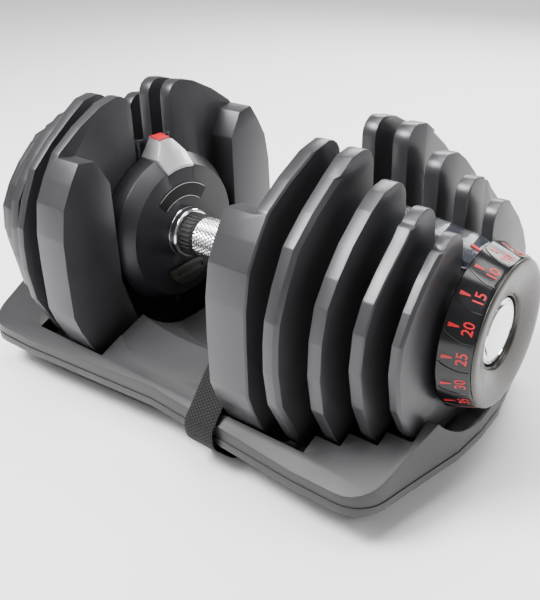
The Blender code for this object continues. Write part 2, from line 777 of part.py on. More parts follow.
def make_deck(collections, materials):
    """The tray's upper shell: sloping deck, stepped wells, hand bowl and dial notches."""
    parts = collections["parts"]
    deck = extruded("tray_deck", deck_outline(), DECK_FOOT_Z, 0.09, "Z", parts)
    roof = extruded("deck_roof", deck_profile(), -0.3, 0.3, "X", parts)
    combine(deck, roof, "INTERSECT", collections)

    hollow = extruded("deck_hollow", deck_outline(DECK_WALL), 0.0, 0.09, "Z", parts)
    under = extruded("under_roof", deck_profile(), -0.4, 0.4, "X", parts)
    under.data.transform(Matrix.Translation((0, 0, -DECK_WALL * 1.1)))
    combine(hollow, under, "INTERSECT", collections)
    keep_bowl = turned("bowl_skin", bowl_profile(DECK_WALL), parts, 48)
    keep_bowl.data.transform(Matrix.Translation((0, 0, AXIS_Z)))
    combine(hollow, keep_bowl, "DIFFERENCE", collections)
    hollow = baked(hollow)
    combine(deck, hollow, "DIFFERENCE", collections)

    bowl = turned("bowl", bowl_profile(0.0), parts, 48)
    bowl.data.transform(Matrix.Translation((0, 0, AXIS_Z)))
    above = box("above_bowl_floor", (-0.2, -0.2, BOWL_FLOOR_Z), (0.2, 0.2, 0.3), parts)
    bowl = baked(combine(bowl, above, "INTERSECT", collections))
    combine(deck, bowl, "DIFFERENCE", collections)
    for side in (-1, 1):
        for inner, outer, half in WELLS:
            low_x, high_x = sorted((side * inner, side * outer))
            well = box("well", (low_x, -half, -0.1), (high_x, half, 0.2), parts)
            combine(deck, well, "DIFFERENCE", collections)
        notch = cylinder(
            "dial_notch", DIAL_NOTCH_R, (side * 0.19, 0, AXIS_Z), (side * 0.23, 0, AXIS_Z), parts, 48, "X"
        )
        combine(deck, notch, "DIFFERENCE", collections)
        scoop = cylinder("scoop", SCOOP_R, (0, 0, 0), (0, 0, 0.1), parts, 48)
        tilt = -side * math.atan(SCOOP_SLOPE)
        edge_z = DECK_EDGE_Z + DECK_SLOPE * (0.119 - SCOOP_Y)
        place = Matrix.Translation((0, side * SCOOP_Y, edge_z)) @ Matrix.Rotation(tilt, 4, "X")
        scoop.data.transform(Matrix.Translation((0, -side * SCOOP_R, 0)))
        scoop.data.transform(place)
        combine(deck, scoop, "DIFFERENCE", collections)
    finished(deck, materials["tray"])


def tapered_plan(name, inset, low, high, collection):
    """The tray's plan drawn up from low to high, narrower at its foot."""
    solid = extruded(name, deck_outline(inset), low, high, "Z", collection)
    shrink = PAN_INSET[1] - PAN_INSET[0]
    for vertex in solid.data.vertices:
        if vertex.co.z < (low + high) / 2:
            vertex.co.x *= 1 - shrink / 0.2
            vertex.co.y *= 1 - shrink / 0.115
    return solid


def make_pan(collections, materials):
    """The tray's lower pan: lip, inset skirt, floor and the cradles that the plates stand on."""
    parts = collections["parts"]
    low, high = PAN_LIP
    pan = extruded("tray_pan", deck_outline(-PAN_LIP_OUT), low, high, "Z", parts)
    skirt = tapered_plan("pan_skirt", PAN_INSET[0], PAN_FOOT_Z, low + 0.001, parts)
    combine(pan, skirt, "UNION", collections)
    floor_z = PAN_FOOT_Z + PAN_WALL
    inside = tapered_plan("pan_inside", PAN_INSET[0] + PAN_WALL, floor_z, 0.05, parts)
    combine(pan, inside, "DIFFERENCE", collections)
    for side in (-1, 1):
        for plate, (faces, _, corners) in enumerate(PLATES):
            rest_z = AXIS_Z + corners[-1][1] - GAP
            inner = (PAD_X if plate == 0 else faces[0]) + 0.001
            outer = min(faces[1] - 0.001, CRADLE_END_X)
            low_x, high_x = sorted((side * inner, side * outer))
            foot_z = CRADLE_FOOT_Z if outer == CRADLE_END_X else PAN_FOOT_Z + 0.001
            for end in (-1, 1):
                y0, y1 = sorted((end * CRADLE_Y[0], end * CRADLE_Y[1]))
                cradle = box("cradle", (low_x, y0, foot_z), (high_x, y1, rest_z), parts)
                combine(pan, cradle, "UNION", collections)
    for x in (-FOOT_XY[0], FOOT_XY[0]):
        for y in (-FOOT_XY[1], FOOT_XY[1]):
            socket = cylinder("foot_socket", 0.0040, (x, y, 0.0), (x, y, 0.02), parts, 16)
            combine(pan, socket, "DIFFERENCE", collections)
    finished(pan, materials["tray"])


def make_feet(collections, materials):
    """Four rubber feet, each with a stem in the pan."""
    parts = collections["parts"]
    places = {"front_left": (-1, -1), "front_right": (1, -1), "rear_left": (-1, 1), "rear_right": (1, 1)}
    for name, (side_x, side_y) in places.items():
        x, y = side_x * FOOT_XY[0], side_y * FOOT_XY[1]
        foot = cylinder(f"foot_{name}", FOOT_R, (x, y, 0.0), (x, y, PAN_FOOT_Z - GAP), parts, 20)
        stem = cylinder("foot_stem", 0.0036, (x, y, 0.002), (x, y, PAN_FOOT_Z + PAN_WALL + 0.003), parts, 12)
        combine(foot, stem, "UNION", collections)
        finished(foot, materials["rubber"])


def make_strap(collections, materials):
    """Webbing strap in one loop: under the tray, up over its front edge, over the grip and back."""
    parts = collections["parts"]
    foot = 0.0024
    side = [
        (0.0, foot), (0.094, foot), (0.1005, 0.0055), (0.1195, 0.0255), (0.1200, 0.0400),
        (0.1140, 0.0450), (0.0230, AXIS_Z + 0.0140),
    ]
    over = arc((0, AXIS_Z), COLLAR_R + 0.0020, 25, 90, 5)
    inner_half = side + over
    outer_half = thickened(inner_half, STRAP_THICK)
    outer = mirrored_outline(outer_half)
    inner = mirrored_outline(inner_half)
    strap = extruded("securing_strap", outer, -STRAP_WIDTH / 2, STRAP_WIDTH / 2, "X", parts)
    hole = extruded("strap_hole", inner, -STRAP_WIDTH, STRAP_WIDTH, "X", parts)
    combine(strap, hole, "DIFFERENCE", collections)
    strap = baked(strap)
    for vertex in strap.data.vertices:
        vertex.co.x += STRAP_X - STRAP_LEAN * max(0.0, vertex.co.z - STRAP_LEAN_FROM)
    finished(strap, materials["webbing"])


def thickened(points, thick):
    """The open line moved outwards by a thickness, its ends kept on the middle line."""
    moved = []
    for i, (y, z) in enumerate(points):
        before = points[max(i - 1, 0)]
        after = points[min(i + 1, len(points) - 1)]
        along = Vector((after[0] - before[0], after[1] - before[1])).normalized()
        moved.append((y + along.y * thick, z - along.x * thick))
    moved[0] = (0.0, points[0][1] - thick)
    moved[-1] = (0.0, points[-1][1] + thick)
    return moved


def main():
    clear_scene()
    collections = {"parts": make_collection("adjustable_dumbbell"), "cutters": make_collection("cutters")}
    materials = {name: make_material(name) for name in FINISHES}
    frames = {}
    for name, turn in (("middle", 0.0), ("right", 0.0), ("left", math.pi)):
        frame = new_object(f"axis_{name}", None, collections["parts"])
        frame.location = (0, 0, AXIS_Z)
        frame.rotation_euler = (0, 0, turn)
        frames[name] = frame
    make_handle(collections, materials, frames)
    make_housing(collections, materials, frames)
    make_bridge(collections, materials, frames)
    make_selectors(collections, materials, frames)
    make_dial(collections, materials, frames)
    make_plates(collections, materials, frames)
    make_deck(collections, materials)
    make_pan(collections, materials)
    make_feet(collections, materials)
    make_strap(collections, materials)


main()
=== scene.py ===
"""Looks of the adjustable dumbbell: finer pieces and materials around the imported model."""

import math

import bmesh
import bpy
from bpy.props import FloatProperty, FloatVectorProperty, IntProperty, PointerProperty
from mathutils import Matrix, Vector


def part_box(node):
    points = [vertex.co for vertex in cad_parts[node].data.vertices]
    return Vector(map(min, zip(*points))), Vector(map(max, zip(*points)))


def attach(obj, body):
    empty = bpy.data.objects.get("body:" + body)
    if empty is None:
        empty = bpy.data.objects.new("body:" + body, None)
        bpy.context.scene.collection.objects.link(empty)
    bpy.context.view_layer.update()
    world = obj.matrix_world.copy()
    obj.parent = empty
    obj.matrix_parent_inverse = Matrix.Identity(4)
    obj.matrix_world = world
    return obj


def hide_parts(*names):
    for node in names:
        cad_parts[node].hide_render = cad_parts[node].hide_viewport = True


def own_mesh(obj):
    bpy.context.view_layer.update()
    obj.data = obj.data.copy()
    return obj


bl_info = {
    "name": "Adjustable dumbbell looks",
    "version": (1, 0, 0),
    "blender": (4, 5, 0),
    "location": "View3D > Sidebar > Dumbbell",
    "description": "Builds the visible pieces of an adjustable dumbbell in its tray",
    "category": "Object",
}



def radius_of(box):
    """Half of a round piece's width."""
    return (box[1][1] - box[0][1]) / 2


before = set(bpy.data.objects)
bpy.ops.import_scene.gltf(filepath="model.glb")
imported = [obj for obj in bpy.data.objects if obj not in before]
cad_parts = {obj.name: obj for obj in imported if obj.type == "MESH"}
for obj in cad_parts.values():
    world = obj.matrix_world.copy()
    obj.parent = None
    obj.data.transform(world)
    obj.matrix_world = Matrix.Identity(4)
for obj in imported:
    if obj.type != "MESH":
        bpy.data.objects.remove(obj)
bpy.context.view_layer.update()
ENDS = ("right", "left")
HALF_TURN = Matrix.Rotation(math.pi, 4, "Z")
SHAFT_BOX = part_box("shaft")
AXIS_Z = (SHAFT_BOX[0][2] + SHAFT_BOX[1][2]) / 2
DIAL_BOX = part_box("dial_right")
DIAL_LOW_X, DIAL_HIGH_X = DIAL_BOX[0][0], DIAL_BOX[1][0]
DIAL_LOW_R = radius_of(DIAL_BOX)
DIAL_HIGH_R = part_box("dial_cap_right")[1][1] + 0.0003
GRIP_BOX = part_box("grip_bar")
RING_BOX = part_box("ribbed_ring_right")
STRAP_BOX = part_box("securing_strap")
SETTINGS = tuple(range(10, 95, 5))
FACET = 2 * math.pi / len(SETTINGS)
PRINT_DEPTH = 0.00012  # half the thickness of the dial's print
PRINT_LIFT = 0.0001
PRINT_BEND_R = 0.054  # radius at which the print keeps its width
FONT_PER_DIGIT = 1.42  # font size over the height of a digit
WEBBING_WIDTH = 0.026
STRAP_WIDTH, STRAP_THICK = 0.0256, 0.0013
STRAP_LEAN, STRAP_LEAN_FROM = 0.16, 0.045  # slant of the strap, and the height that it starts at
STRAP_STEPS, STRAP_ACROSS = 260, 10
SUN_POWER, SUN_TURN, SUN_SPREAD = 1.6, (28, -18), 40
CAMERA_ANGLES = (39.596, 28.312, -1.618)  # azimuth, elevation and roll
CAMERA_DISTANCE, CAMERA_LENS = 0.632, 47.87
CAMERA_TARGET = (0.0217, 0.0032, AXIS_Z - 0.0393)
LIGHTS = (  # name, place, size, power
    ("key_light", (-0.45, -0.70, 1.35), (0.6, 0.5), 48.0),
    ("top_light", (0.05, 0.15, 1.60), (1.0, 0.8), 24.0),
    ("back_light", (-0.15, 1.35, 0.90), (1.4, 0.5), 30.0),
    ("end_light", (1.25, 0.55, 0.95), (0.4, 0.5), 6.0),
)


# ---- settings ----
def colour_of(name, description, default):
    """A colour setting."""
    return FloatVectorProperty(
        name=name, description=description, subtype="COLOR", size=3, min=0.0, max=1.0, default=default
    )


def length_of(name, description, default, low, high):
    """A length setting, in metres."""
    return FloatProperty(
        name=name, description=description, default=default, min=low, max=high, unit="LENGTH"
    )


class DumbbellPlateSettings(bpy.types.PropertyGroup):
    colour: colour_of("Colour", "Satin charcoal paint", (0.050, 0.050, 0.054))
    # A lighter colour for the plates' edge rounds: a painted highlight.
    edge_colour: colour_of("Edge highlight colour", "Painted highlight along the edges", (0.10, 0.097, 0.094))
    edge_width: length_of("Edge width", "Round along each sharp edge", 0.0009, 0.0002, 0.003)
    corner_round: length_of("Corner round", "Round on the outline's corners", 0.0065, 0.001, 0.012)


class DumbbellTraySettings(bpy.types.PropertyGroup):
    colour: colour_of("Colour", "Moulded plastic", (0.018, 0.0175, 0.0195))
    edge_width: length_of("Edge width", "Round on moulded edges", 0.0014, 0.0002, 0.004)


class DumbbellDialSettings(bpy.types.PropertyGroup):
    number_colour: colour_of("Number colour", "Red print", (0.42, 0.001, 0.008))
    number_height: length_of("Number height", "Height of a digit", 0.0064, 0.004, 0.010)
    scallop: length_of("Scallop", "How far each facet is hollowed", 0.0008, 0.0, 0.0015)


class DumbbellHandleSettings(bpy.types.PropertyGroup):
    knurls_around: IntProperty(
        name="Knurls around", description="Diamonds round the grip", default=38, min=12, max=80
    )
    knurls_along: IntProperty(
        name="Knurls along", description="Rows of diamonds along the grip", default=34, min=10, max=120
    )
    knurl_height: length_of("Knurl height", "Height of a diamond", 0.00075, 0.0001, 0.001)
    ribs: IntProperty(name="Ribs", description="Ribs on each fluted ring", default=30, min=8, max=60)


class DumbbellStrapSettings(bpy.types.PropertyGroup):
    colour: colour_of("Colour", "Black webbing", (0.006, 0.006, 0.0065))
    thread_pitch: length_of("Thread pitch", "Spacing of the weave", 0.0018, 0.0005, 0.004)


SETTING_GROUPS = {
    "dumbbell_plates": DumbbellPlateSettings,
    "dumbbell_tray": DumbbellTraySettings,
    "dumbbell_dial": DumbbellDialSettings,
    "dumbbell_handle": DumbbellHandleSettings,
    "dumbbell_strap": DumbbellStrapSettings,
}


# ---- shader node groups ----
def new_tree(name, kind, inputs, outputs):
    """An empty node group with its sockets: (name, socket type, default)."""
    tree = bpy.data.node_groups.new(name, kind)
    for label, socket, default in inputs:
        made = tree.interface.new_socket(label, in_out="INPUT", socket_type=socket)
        if default is not None:
            made.default_value = default
    for label, socket in outputs:
        tree.interface.new_socket(label, in_out="OUTPUT", socket_type=socket)
    return tree, tree.nodes.new("NodeGroupInput"), tree.nodes.new("NodeGroupOutput")


def wire(tree, source, output, target, socket):
    """A link from one node's output to another's input."""
    tree.links.new(source.outputs[output], target.inputs[socket])


def add_node(tree, kind, inputs):
    """A node with values on its inputs."""
    node = tree.nodes.new(kind)
    for label, value in inputs.items():
        node.inputs[label].default_value = value
    return node


def math_node(tree, operation, first, second=None):
    """A Math node fed by sockets or plain numbers."""
    node = tree.nodes.new("ShaderNodeMath")
    node.operation = operation
    for socket, value in zip(node.inputs, (first, second)):
        if value is None:
            continue
        if isinstance(value, (int, float)):
            socket.default_value = value
        else:
            tree.links.new(value, socket)
    return node.outputs[0]


def grain_group():
    """Fine cast or moulded grain: a height, a slow blotchy mask and a fine speckle."""
    tree, given, out = new_tree(
        "Surface grain",
        "ShaderNodeTree",
        [("Grain scale", "NodeSocketFloat", 900.0), ("Blotch scale", "NodeSocketFloat", 25.0)],
        [("Height", "NodeSocketFloat"), ("Blotch", "NodeSocketFloat"), ("Speckle", "NodeSocketFloat")],
    )
    place = tree.nodes.new("ShaderNodeTexCoord")
    fine = add_node(tree, "ShaderNodeTexNoise", {"Detail": 3.0, "Roughness": 0.65})
    blotch = add_node(tree, "ShaderNodeTexNoise", {"Detail": 4.0})
    speckle = tree.nodes.new("ShaderNodeTexVoronoi")
    for texture, scale in ((fine, "Grain scale"), (blotch, "Blotch scale"), (speckle, "Grain scale")):
        wire(tree, place, "Object", texture, "Vector")
        wire(tree, given, scale, texture, "Scale")
    pits = math_node(tree, "MULTIPLY", speckle.outputs["Distance"], 0.35)
    height = math_node(tree, "ADD", fine.outputs["Fac"], pits)
    tree.links.new(height, out.inputs["Height"])
    wire(tree, blotch, "Fac", out, "Blotch")
    wire(tree, speckle, "Distance", out, "Speckle")
    return tree


def dust_group():
    """Dust that settles on faces that look up, broken by noise."""
    tree, given, out = new_tree(
        "Settled dust",
        "ShaderNodeTree",
        [("Amount", "NodeSocketFloat", 0.3), ("Scale", "NodeSocketFloat", 60.0)],
        [("Mask", "NodeSocketFloat")],
    )
    geometry = tree.nodes.new("ShaderNodeNewGeometry")
    split = tree.nodes.new("ShaderNodeSeparateXYZ")
    wire(tree, geometry, "Normal", split, 0)
    place = tree.nodes.new("ShaderNodeTexCoord")
    noise = add_node(tree, "ShaderNodeTexNoise", {"Detail": 6.0})
    wire(tree, place, "Object", noise, "Vector")
    wire(tree, given, "Scale", noise, "Scale")
    up = math_node(tree, "MAXIMUM", split.outputs["Z"], 0.0)
    broken = math_node(tree, "MULTIPLY", up, noise.outputs["Fac"])
    mask = math_node(tree, "MULTIPLY", broken, given.outputs["Amount"])
    tree.links.new(mask, out.inputs["Mask"])
    return tree


def weave_group():
    """Plain weave on a strap's UV map: a height and a mask of the raised threads."""
    tree, given, out = new_tree(
        "Webbing weave",
        "ShaderNodeTree",
        [("Across", "NodeSocketFloat", 14.0), ("Along", "NodeSocketFloat", 300.0)],
        [("Height", "NodeSocketFloat"), ("Threads", "NodeSocketFloat")],
    )
    uv = tree.nodes.new("ShaderNodeUVMap")
    uv.uv_map = "Along the strap"
    split = tree.nodes.new("ShaderNodeSeparateXYZ")
    wire(tree, uv, "UV", split, 0)
    across = math_node(tree, "MULTIPLY", split.outputs["X"], given.outputs["Across"])
    along = math_node(tree, "MULTIPLY", split.outputs["Y"], given.outputs["Along"])
    row = math_node(tree, "FLOOR", across)
    shift = math_node(tree, "MULTIPLY", math_node(tree, "MODULO", row, 2.0), 0.5)
    moved = math_node(tree, "ADD", along, shift)
    bump_along = math_node(tree, "SINE", math_node(tree, "MULTIPLY", moved, math.tau))
    bump_across = math_node(
        tree, "SINE", math_node(tree, "MULTIPLY", math_node(tree, "FRACT", across), math.pi)
    )
    lifted = math_node(tree, "ADD", math_node(tree, "MULTIPLY", bump_along, 0.5), 0.5)
    height = math_node(tree, "MULTIPLY", lifted, bump_across)
    tree.links.new(height, out.inputs["Height"])
    tree.links.new(math_node(tree, "POWER", height, 2.5), out.inputs["Threads"])
    return tree


# ---- materials ----
def place_group(tree, name, **values):
    """A shader group in a material's tree, with its inputs set."""
    node = tree.nodes.new("ShaderNodeGroup")
    node.node_tree = bpy.data.node_groups[name]
    for label, value in values.items():
        node.inputs[label.replace("_", " ")].default_value = value
    return node


def mixed(tree, factor, low, high):
    """A colour between two, by a mask."""
    mix = tree.nodes.new("ShaderNodeMix")
    mix.data_type = "RGBA"
    tree.links.new(factor, mix.inputs["Factor"])
    mix.inputs["A"].default_value = (*low, 1.0)
    mix.inputs["B"].default_value = (*high, 1.0)
    return mix.outputs["Result"]


def spread(tree, value, low, high):
    """A value mapped from 0.3..0.7 to low..high."""
    node = add_node(
        tree, "ShaderNodeMapRange",
        {"From Min": 0.3, "From Max": 0.7, "To Min": low, "To Max": high},
    )
    tree.links.new(value, node.inputs["Value"])
    return node.outputs["Result"]


def scaled(colour, factor):
    return tuple(min(1.0, part * factor) for part in colour)


def new_material(name, roughness=0.5, metallic=0.0):
    material = bpy.data.materials.new(name)
    material.use_nodes = True
    shader = material.node_tree.nodes["Principled BSDF"]
    shader.inputs["Roughness"].default_value = roughness
    shader.inputs["Metallic"].default_value = metallic
    return material, material.node_tree, shader


def relief(tree, shader, height, strength, distance):
    """A bump on a shader, from a height."""
    node = add_node(tree, "ShaderNodeBump", {"Strength": strength, "Distance": distance})
    tree.links.new(height, node.inputs["Height"])
    wire(tree, node, "Normal", shader, "Normal")


def grained_material(name, colour, roughness, metallic=0.0, grain=900.0, bump=0.1, depth=0.0002,
                     blotch=25.0, dust=0.03, dust_colour=(0.30, 0.29, 0.28), contrast=0.22,
                     specular=0.5):
    """Painted, cast or moulded surface: blotchy colour, grain bump, uneven gloss, settled dust."""
    material, tree, shader = new_material(name, roughness, metallic)
    shader.inputs["Specular IOR Level"].default_value = specular
    surface = place_group(tree, "Surface grain", Grain_scale=grain, Blotch_scale=blotch)
    low, high = scaled(colour, 1 - contrast), scaled(colour, 1 + contrast)
    base = mixed(tree, surface.outputs["Blotch"], low, high)
    settled = place_group(tree, "Settled dust", Amount=dust, Scale=70.0)
    dusty = tree.nodes.new("ShaderNodeMix")
    dusty.data_type = "RGBA"
    dusty.inputs["B"].default_value = (*dust_colour, 1.0)
    wire(tree, settled, "Mask", dusty, "Factor")
    tree.links.new(base, dusty.inputs["A"])
    wire(tree, dusty, "Result", shader, "Base Color")
    gloss = spread(tree, surface.outputs["Blotch"], roughness - 0.06, roughness + 0.06)
    tree.links.new(gloss, shader.inputs["Roughness"])
    relief(tree, shader, surface.outputs["Height"], bump, depth)
    return material


def brushed_material(name, colour, roughness, streak=(30.0, 900.0, 900.0)):
    """Bare metal with fine turning marks, stretched along the axis that streak leaves small."""
    material, tree, shader = new_material(name, roughness, 1.0)
    place = tree.nodes.new("ShaderNodeTexCoord")
    stretch = add_node(tree, "ShaderNodeMapping", {"Scale": streak})
    noise = add_node(tree, "ShaderNodeTexNoise", {"Scale": 1.0})
    wire(tree, place, "Object", stretch, "Vector")
    wire(tree, stretch, "Vector", noise, "Vector")
    tree.links.new(mixed(tree, noise.outputs["Fac"], scaled(colour, 0.88), scaled(colour, 1.08)),
                   shader.inputs["Base Color"])
    tree.links.new(spread(tree, noise.outputs["Fac"], roughness * 0.7, roughness * 1.3),
                   shader.inputs["Roughness"])
    return material


def clear_material():
    """Clear, faintly blue plastic with a light scuffing."""
    material, tree, shader = new_material("Clear plastic", 0.12)
    shader.inputs["Transmission Weight"].default_value = 0.94
    shader.inputs["IOR"].default_value = 1.25
    surface = place_group(tree, "Surface grain", Grain_scale=400.0, Blotch_scale=40.0)
    tint = mixed(tree, surface.outputs["Blotch"], (0.30, 0.32, 0.38), (0.42, 0.45, 0.52))
    tree.links.new(tint, shader.inputs["Base Color"])
    tree.links.new(spread(tree, surface.outputs["Blotch"], 0.06, 0.20), shader.inputs["Roughness"])
    return material


def webbing_material(settings, length):
    """Black webbing with the light catching its raised threads."""
    material, tree, shader = new_material("Webbing", 0.75)
    shader.inputs["Specular IOR Level"].default_value = 0.2
    across = WEBBING_WIDTH / settings.thread_pitch
    along = length / (settings.thread_pitch * 1.5)
    weave = place_group(tree, "Webbing weave", Across=across, Along=along)
    # The raised threads take a lighter colour: a painted highlight where the light would catch them.
    tree.links.new(
        mixed(tree, weave.outputs["Threads"], tuple(settings.colour), (0.040, 0.040, 0.038)),
        shader.inputs["Base Color"],
    )
    relief(tree, shader, weave.outputs["Height"], 0.8, 0.0006)
    return material


def make_materials():
    """Every material, by the name that the pieces use."""
    grain_group()
    dust_group()
    weave_group()
    scene = bpy.context.scene
    plates, tray, dial = scene.dumbbell_plates, scene.dumbbell_tray, scene.dumbbell_dial
    plate_colour, tray_colour = tuple(plates.colour), tuple(tray.colour)
    return {
        "plate": grained_material(
            "Cast plate", plate_colour, 0.36, 0.55, 1100.0, 0.22, blotch=16.0
        ),
        # The edge rounds take a lighter, glossier colour than the paint: a painted highlight along the
        # plates' edges.
        "plate_edge": grained_material(
            "Rubbed plate edge", tuple(plates.edge_colour), 0.30, 0.55, 900.0, 0.1, contrast=0.3
        ),
        "tray": grained_material(
            "Tray plastic", tray_colour, 0.48, 0.0, 1500.0, 0.30, blotch=12.0, specular=0.45
        ),
        "pan": grained_material("Pan plastic", scaled(tray_colour, 0.8), 0.5, 0.0, 1500.0, 0.2),
        "housing": grained_material(
            "Housing plastic", (0.013, 0.013, 0.016), 0.42, 0.0, 1400.0, 0.15, specular=0.4
        ),
        "wedge": grained_material(
            "Silver plastic", (0.42, 0.42, 0.43), 0.30, 0.55, 1200.0, 0.05, contrast=0.08, dust=0.0
        ),
        "lock_plate": grained_material("Lock plate paint", (0.040, 0.040, 0.035), 0.45, 0.3),
        "dial": grained_material(
            "Dial plastic", (0.006, 0.006, 0.007), 0.20, 0.0, 1600.0, 0.04,
            dust=0.0, contrast=0.1, specular=0.38,
        ),
        "cap": grained_material(
            "Cap grey", (0.060, 0.055, 0.051), 0.30, 0.6, 1400.0, 0.05, contrast=0.10, dust=0.05
        ),
        "seam": grained_material("Seam shadow", (0.004, 0.004, 0.004), 0.7, dust=0.0),
        "label": grained_material("Label black", (0.003, 0.003, 0.003), 0.35, dust=0.0, specular=0.15),
        "label_mark": grained_material("Label silver", (0.50, 0.50, 0.50), 0.35, 0.4, dust=0.0),
        "number": grained_material(
            "Number red", tuple(dial.number_colour), 0.40, dust=0.0, bump=0.02, contrast=0.08
        ),
        "rubber": grained_material("Black rubber", (0.010, 0.010, 0.011), 0.7, 0.0, 700.0, 0.3),
        "chrome": brushed_material("Chrome", (0.86, 0.86, 0.88), 0.07, (200.0, 200.0, 200.0)),
        "knurled": brushed_material("Knurled steel", (0.70, 0.70, 0.71), 0.24),
        "steel": brushed_material("Machined steel", (0.36, 0.36, 0.38), 0.32),
        "clear": clear_material(),
    }


MATERIALS = {}


# ---- mesh helpers ----
def link(name, data):
    obj = bpy.data.objects.new(name, data)
    bpy.context.scene.collection.objects.link(obj)
    return obj


def applied(obj):
    """The object with its modifiers applied, as a plain mesh at the origin."""
    bpy.context.view_layer.update()
    graph = bpy.context.evaluated_depsgraph_get()
    mesh = bpy.data.meshes.new_from_object(obj.evaluated_get(graph), depsgraph=graph)
    mesh.transform(obj.matrix_world)
    name = obj.name
    bpy.data.objects.remove(obj, do_unlink=True)
    mesh.name = name
    return link(name, mesh)


def edit(mesh):
    graph = bmesh.new()
    graph.from_mesh(mesh)
    return graph


def store(graph, mesh):
    graph.to_mesh(mesh)
    graph.free()


def clean_copy(node, name, weld=0.00025, flat=0.4):
    """A copy of a CAD node's mesh, welded and with its flat faces merged."""
    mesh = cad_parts[node].data.copy()
    graph = edit(mesh)
    bmesh.ops.remove_doubles(graph, verts=graph.verts, dist=1e-6)
    bmesh.ops.dissolve_limit(
        graph, angle_limit=math.radians(flat), verts=graph.verts, edges=graph.edges
    )
    bmesh.ops.remove_doubles(graph, verts=graph.verts, dist=weld)
    store(graph, mesh)
    mesh.materials.clear()
    return link(name, mesh)


def rounded(obj, width, segments=3, angle=35, edge_slot=-1):
    """A fine round on the sharp edges, which may take another material slot."""
    bevel = obj.modifiers.new("Edges", "BEVEL")
    bevel.width = width
    bevel.segments = segments
    bevel.limit_method = "ANGLE"
    bevel.angle_limit = math.radians(angle)
    bevel.miter_outer = "MITER_ARC"
    bevel.harden_normals = False
    bevel.material = edge_slot
    return applied(obj)


def smooth(obj, angle=30):
    obj.data.shade_smooth()
    obj.data.set_sharp_from_angle(angle=math.radians(angle))
    return obj


def dress(obj, names, body, nodes=()):
    """Give a finished piece its materials, its body and the nodes that it stands for."""
    materials = [MATERIALS[name] for name in names.split()]
    kept = [polygon.material_index for polygon in obj.data.polygons]
    obj.data.materials.clear()
    for material in materials:
        obj.data.materials.append(material)
    for polygon, index in zip(obj.data.polygons, kept):
        polygon.material_index = min(index, len(materials) - 1)
    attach(obj, body)
    if nodes:
        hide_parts(*nodes)
    return obj


def at_end(mesh, end):
    """Turn a mesh made for the right end to the named end."""
    if end == "left":
        mesh.transform(HALF_TURN)
    return mesh


def repaint(node, material):
    """A better material on a CAD node that stays."""
    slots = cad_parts[node].material_slots
    for slot in slots:
        slot.material = material
    if not slots:
        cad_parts[node].data.materials.append(material)


def tube(name, points, radius, sides=8):
    """A round line through points, as a mesh."""
    curve = bpy.data.curves.new(name, "CURVE")
    curve.dimensions = "3D"
    curve.bevel_depth = radius
    curve.bevel_resolution = max(1, sides // 4)
    curve.use_fill_caps = True
    spline = curve.splines.new("POLY")
    spline.points.add(len(points) - 1)
    for point, place in zip(spline.points, points):
        point.co = (*place, 1.0)
    return applied(link(name, curve))


def skin(graph, loops, closed=True):
    """Four-sided faces from each loop of vertices to the next."""
    faces = []
    for here, there in zip(loops, loops[1:] + loops[:1] if closed else loops[1:]):
        for i in range(len(here)):
            j = (i + 1) % len(here)
            faces.append(graph.faces.new((here[i], here[j], there[j], there[i])))
    return faces


def turned(name, profile, steps=96):
    """A closed (x, radius) profile turned about the handle's axis."""
    mesh = bpy.data.meshes.new(name)
    graph = bmesh.new()
    rings = []
    for step in range(steps):
        turn = math.tau * step / steps
        rings.append(
            [
                graph.verts.new((x, radius * math.sin(turn), AXIS_Z + radius * math.cos(turn)))
                for x, radius in profile
            ]
        )
    skin(graph, rings)
    bmesh.ops.remove_doubles(graph, verts=graph.verts, dist=1e-6)
    bmesh.ops.dissolve_degenerate(graph, edges=graph.edges, dist=1e-7)
    bmesh.ops.recalc_face_normals(graph, faces=graph.faces)
    store(graph, mesh)
    return link(name, mesh)


# ---- geometry nodes ----
def painted(tree, given, out, copies):
    """Make instances real, with the tree's material, as its output."""
    real = tree.nodes.new("GeometryNodeRealizeInstances")
    paint = tree.nodes.new("GeometryNodeSetMaterial")
    wire(tree, copies, "Instances", real, "Geometry")
    wire(tree, real, "Geometry", paint, "Geometry")
    wire(tree, given, "Material", paint, "Material")
    wire(tree, paint, "Geometry", out, "Geometry")


def ring_tree():
    """Copies of an object in a ring about the handle's axis."""
    tree, given, out = new_tree(
        "Ring of copies",
        "GeometryNodeTree",
        [
            ("Piece", "NodeSocketObject", None),
            ("Count", "NodeSocketInt", 12),
            ("Start", "NodeSocketFloat", 0.0),
            ("Centre", "NodeSocketVector", (0.0, 0.0, 0.0)),
            ("Material", "NodeSocketMaterial", None),
        ],
        [("Geometry", "NodeSocketGeometry")],
    )
    nodes, wires = tree.nodes, tree.links
    line = add_node(tree, "GeometryNodeMeshLine", {"Offset": (0.0, 0.0, 0.0)})
    wire(tree, given, "Count", line, "Count")
    wire(tree, given, "Centre", line, "Start Location")
    piece = nodes.new("GeometryNodeObjectInfo")
    wire(tree, given, "Piece", piece, "Object")
    index = nodes.new("GeometryNodeInputIndex")
    share = math_node(tree, "DIVIDE", index.outputs[0], given.outputs["Count"])
    turn = math_node(tree, "ADD", math_node(tree, "MULTIPLY", share, math.tau), given.outputs["Start"])
    aim = nodes.new("ShaderNodeCombineXYZ")
    wires.new(turn, aim.inputs["X"])
    copies = nodes.new("GeometryNodeInstanceOnPoints")
    wire(tree, line, "Mesh", copies, "Points")
    wire(tree, piece, "Geometry", copies, "Instance")
    wire(tree, aim, "Vector", copies, "Rotation")
    painted(tree, given, out, copies)
    return tree


